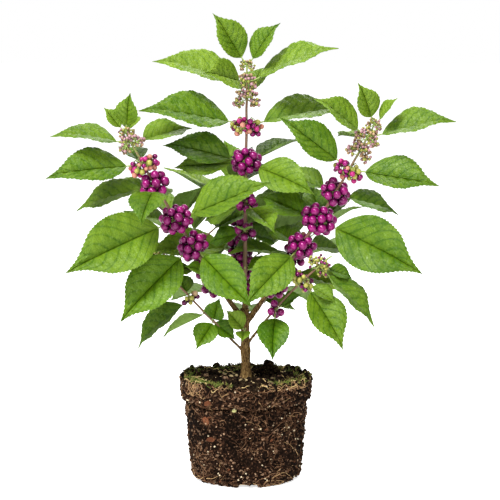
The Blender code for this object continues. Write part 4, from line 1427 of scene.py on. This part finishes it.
def leaf_group():
    """Veins, a mottle and a little unevenness from leaf to leaf, with painted shade darkening the sunken
    veins, midrib, fine net and the furrows beside the side veins.
    """
    tree, given, made = new_group("leaf veins", (("Vector", "Mark Place"), ("Color", "Leaf Deep Vein")),
                                  (("Color", "Colour"), ("Float", "Roughness Height")))
    parts = add_node(tree, "ShaderNodeSeparateXYZ", {0: given["Mark"]}).outputs
    near = maths(tree, "PINGPONG", parts[0], 0.5)
    side_vein = times(tree, mask(tree, near, 0.065, 0.0), mask(tree, parts[1], 0.98, 0.7))
    midrib = mask(tree, parts[1], 0.035, 0.0)
    vein = maths(tree, "MAXIMUM", times(tree, side_vein, 0.2), times(tree, midrib, 0.85))
    mottle = pattern(tree, given["Place"], 95.0, 4.0)
    mesh_work = pattern(tree, given["Place"], 520.0, 2.0)
    cells = add_node(tree, "ShaderNodeTexVoronoi", {"Vector": given["Place"], "Scale": CELL_SCALE},
                     feature="DISTANCE_TO_EDGE").outputs["Distance"]
    net = mask(tree, cells, 0.16, 0.0)
    depth = times(tree, parts[2], 0.5)
    # painted shade: the furrows beside the side veins and the fine net go towards the darker colour; tone,
    # mottle and mesh work are its own
    for shade, share in ((mask(tree, mottle, 0.35, 0.68), 0.4), (mask(tree, near, 0.2, 0.01), 0.38),
                         (mask(tree, mesh_work, 0.52, 0.36), 0.18), (net, 0.1)):
        depth = maths(tree, "ADD", depth, times(tree, shade, share), True)
    body = blend(tree, depth, given["Leaf"], given["Deep"])
    # the side veins and midrib take the vein colour, painted shade in their grooves on the top
    feed(tree, made["Colour"], blend(tree, times(tree, vein, 0.5), body, given["Vein"]))
    feed(tree, made["Roughness"], maths(tree, "ADD", times(tree, mottle, 0.2), 0.34))
    pebble = maths(tree, "SUBTRACT", times(tree, mesh_work, 0.7), times(tree, net, 0.3))
    feed(tree, made["Height"], maths(tree, "SUBTRACT", pebble, vein))
    return tree


def grain_group():
    """Two colours laid over a base in grains of different sizes, and dark patches, for soil and bark."""
    tree, given, made = new_group(
        "grain", (("Vector", "Place"), ("Color", "Base Light Dark"), ("Float", "Size Patches")),
        (("Color", "Colour"), ("Float", "Height")))
    place, dark = given["Place"], given["Dark"]
    coarse = pattern(tree, place, given["Size"], 5.0, 0.65)
    fine = pattern(tree, place, times(tree, given["Size"], 3.4), 3.0, 0.6)
    patch = mask(tree, pattern(tree, place, PATCH_SCALE, 2.0), 0.54, 0.4)
    body = blend(tree, mask(tree, coarse, 0.5, 0.66), given["Base"], given["Light"])
    body = blend(tree, times(tree, patch, given["Patches"]), body, dark)
    feed(tree, made["Colour"], blend(tree, mask(tree, fine, 0.52, 0.4), body, dark))
    feed(tree, made["Height"], maths(tree, "ADD", coarse, times(tree, fine, 0.6)))
    return tree


def finish(name, colour, roughness, gloss=USUAL_GLOSS, **sockets):
    """A plain finish, kept among the paints. Gives its tree and shader for what is added to it."""
    made = bpy.data.materials.new(name)
    made.use_nodes = True
    PAINTS[name] = made
    shader = made.node_tree.nodes["Principled BSDF"]
    values = {"Base Color": tone(colour), "Roughness": roughness, "Specular IOR Level": gloss}
    for label, value in (values | sockets).items():
        shader.inputs[label.replace("_", " ")].default_value = value
    return made.node_tree, shader


def place_in(tree):
    return tree.nodes.new("ShaderNodeTexCoord").outputs["Object"]


def mark_in(tree):
    return add_node(tree, "ShaderNodeAttribute", attribute_name="mark").outputs["Vector"]


def mark_parts(tree):
    return add_node(tree, "ShaderNodeSeparateXYZ", {0: mark_in(tree)}).outputs


def bump(tree, shader, height, strength, distance):
    node = add_node(tree, "ShaderNodeBump", {"Height": height, "Strength": strength, "Distance": distance})
    feed(tree, shader.inputs["Normal"], node.outputs[0])


def laid_over(tree, shader, group, feeds, strength, distance):
    """Lays a shader group's colour and relief over a finish, and gives what comes out of it."""
    made = add_node(tree, "ShaderNodeGroup", feeds, node_tree=group).outputs
    feed(tree, shader.inputs["Base Color"], made["Colour"])
    bump(tree, shader, made["Height"], strength, distance)
    return made


def leaf_finish(name, group, leaf, deep, vein):
    tree, shader = finish(name, leaf, 0.45, LEAF_GLOSS)
    feeds = {"Mark": mark_in(tree), "Place": place_in(tree), "Leaf": tone(leaf), "Deep": tone(deep),
             "Vein": tone(vein)}
    made = laid_over(tree, shader, group, feeds, 0.9, 0.5 * MM)
    feed(tree, shader.inputs["Roughness"], made["Roughness"])


def grain_finish(name, group, base, light, dark, size, relief, darkest):
    """Grains of colour, drawn out along the stem on bark. With a darkest colour given, each body goes
    its own way from that to the base, by mark x."""
    roughness, stretch, patches = (0.8, 0.3, 0.15) if name == "bark" else (0.9, 1.0, 0.6)
    tree, shader = finish(name, base, roughness, SOIL_GLOSS)
    feeds = {"Vector": place_in(tree), "Scale": (1.0, 1.0, stretch)}
    drawn = add_node(tree, "ShaderNodeMapping", feeds).outputs[0]
    body = blend(tree, mark_parts(tree)[0], tone(darkest), tone(base)) if darkest else tone(base)
    feeds = {"Place": drawn, "Base": body, "Light": tone(light), "Dark": tone(dark), "Size": size,
             "Patches": patches}
    laid_over(tree, shader, group, feeds, 0.6, relief)


def berry_finish(name, tip, foot, roughness, gloss):
    """A berry's skin, lightest towards its tip as painted light and darkest at its foot as painted shade
    where it meets its neighbours.
    """
    tree, shader = finish(name, tip, roughness, gloss, Specular_Tint=BERRY_SHEEN)
    parts = mark_parts(tree)
    # glow is painted light and shade: from the foot colour to the tip colour as the skin faces out of the
    # cluster
    glow = times(tree, mask(tree, parts[1], 0.25, 0.95), mask(tree, parts[0], 2.4, 0.0))
    feed(tree, shader.inputs["Base Color"], blend(tree, glow, tone(foot), tone(tip)))


def twig_finish():
    """Young wood: brown at a shoot's foot and green towards its tip."""
    tree, shader = finish("young wood", (110, 90, 60), 0.6)
    spots = pattern(tree, place_in(tree), 700.0, 3.0)
    patchy = times(tree, maths(tree, "SUBTRACT", spots, 0.5), 0.5)
    way = maths(tree, "ADD", mark_parts(tree)[0], patchy)
    low = blend(tree, mask(tree, way, 0.2, 0.6), tone((104, 80, 56)), tone((116, 84, 62)))
    body = blend(tree, mask(tree, way, 0.82, 1.0), low, tone((128, 150, 72)))
    feed(tree, shader.inputs["Base Color"], body)
    bump(tree, shader, spots, 0.3, 0.15 * MM)


def mix_paints():
    veins, grain = leaf_group(), grain_group()
    twig_finish()
    for name, paint in LEAF_PAINTS.items():
        leaf_finish(name, veins, *paint)
    for name, paint in BERRY_PAINTS.items():
        berry_finish(name, *paint)
    for name, paint in GRAIN_PAINTS.items():
        grain_finish(name, grain, *paint)
    for name, paint in PLAIN_PAINTS.items():
        finish(name, *paint)


# Assembly

def dress(piece, slot, *nodes):
    """Hands a finished piece over to the part in the place of its solids."""
    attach(piece, "root")
    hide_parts(*nodes)


def shoot_pieces(shoot, line, blades, spurs, shape):
    """One shoot's leaves, its twigs and stalks, and its fruit, in the place of its mass."""
    leaves, twigs, fruit = Heap(), Heap(), Heap()
    for blade in blades:
        dice = random.Random(f"leaf {blade.shoot} {blade.tip.x:.4f} {blade.tip.z:.4f}")
        points, faces, marks = leaf_body(blade, dice)
        leaves.add(points, faces, [leaf_tint(blade, dice), 3, 3], marks)
    add_twigs(shoot, line, blades, spurs, twigs)
    for node in shoot.nodes:
        if node.fruit > 0:
            add_fruit(shoot, node, line, fruit, twigs, shape)
    mass = f"{shoot.name}_mass"
    dress(leaves.build(f"{shoot.name}_leaves", LEAF_PAINTS, 50), "foliage", mass)
    dress(twigs.build(f"{shoot.name}_twigs", TWIG_PAINTS), "foliage", mass)
    if fruit.count:
        dress(fruit.build(f"{shoot.name}_fruit", BERRY_PAINTS), "foliage", mass)


def shrub():
    noise.seed_set(WANDER_SEED)
    mix_paints()
    shape = ball_shape(BERRY_SIDES, BERRY_RINGS)
    lines, blades, spurs = grow()
    for shoot in SHOOTS:
        own = [[one for one in many if one.shoot == shoot.name] for many in (blades, spurs)]
        shoot_pieces(shoot, lines[shoot.name], *own, shape)
    bark = wood(lines)
    bark.data.materials.append(PAINTS["bark"])
    boughs = [f"{shoot.name}_bough" for shoot in SHOOTS if shoot.name not in NO_BOUGH]
    dress(bark, "bark", "trunk", *boughs)
    ball = soil()
    ball.data.materials.append(PAINTS["wet soil"])
    dress(ball, "soil", "root_ball")
    for name, heap, sharp, paints in (("root_ball_roots", roots(), None, ROOT_PAINTS),
                                      ("root_ball_crumbs", crumbs(), 40, CRUMB_PAINTS),
                                      ("root_ball_moss", moss(), None, MOSS_PAINTS)):
        dress(heap.build(name, paints, sharp), "soil", "root_ball")


# Studio

CAMERA_RISE = 7
CAMERA_REACH = 1.4
CAMERA_AIM = Vector((0.003, 0.0, 0.176))
CAMERA_LENS = 132
FLOOR_SIZE = 30
SKY_SEEN, SKY_LIGHT = 1.0, 0.52  # of the white room, where the camera sees it and as a light
FLOOR_SEEN, FLOOR_GLOW = 0.7, 0.12  # and of the floor
LAMPS = {  # place, size and power
    "key": ((-0.7, -1.0, 1.7), 0.62, 56.0),
    "fill": ((0.15, -1.7, 0.95), 0.4, 11.0),
    "back": ((0.3, 1.2, 1.5), 1.2, 20.0),
}


def glow(tree, socket, seen, light):
    """A strength that is one value where the camera sees it, and another as a light."""
    at_camera = tree.nodes.new("ShaderNodeLightPath").outputs["Is Camera Ray"]
    feed(tree, socket, maths(tree, "ADD", times(tree, at_camera, seen - light), light))


def studio():
    """A white floor and world, large soft lamps and the camera."""
    put_down()
    bpy.ops.mesh.primitive_plane_add(size=FLOOR_SIZE)
    floor = bpy.context.active_object
    floor.name = "floor"
    tree, shader = finish("floor", (250, 250, 250), 0.9, Emission_Color=(1, 1, 1, 1))
    glow(tree, shader.inputs["Emission Strength"], FLOOR_SEEN, FLOOR_GLOW)
    floor.data.materials.append(PAINTS["floor"])
    for name, (place, size, power) in LAMPS.items():
        bpy.ops.object.light_add(type="AREA", location=place)
        lamp = bpy.context.active_object
        lamp.name = name
        lamp.data.size = size
        lamp.data.energy = power
        lamp.rotation_euler = facing(Vector(place) - CAMERA_AIM)
    world = bpy.data.worlds.new("white room")
    bpy.context.scene.world = world
    world.use_nodes = True
    sky = world.node_tree.nodes["Background"]
    sky.inputs["Color"].default_value = (1, 1, 1, 1)
    glow(world.node_tree, sky.inputs["Strength"], SKY_SEEN, SKY_LIGHT)
    out = toward(270, CAMERA_RISE)
    bpy.ops.object.camera_add(location=CAMERA_AIM + out * CAMERA_REACH)
    camera = bpy.context.active_object
    camera.rotation_euler = facing(out)
    camera.data.lens = CAMERA_LENS
    bpy.context.scene.camera = camera
    bpy.context.scene.view_settings.view_transform = "Standard"


for spare in list(bpy.data.objects):
    bpy.data.objects.remove(spare)
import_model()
shrub()
studio()
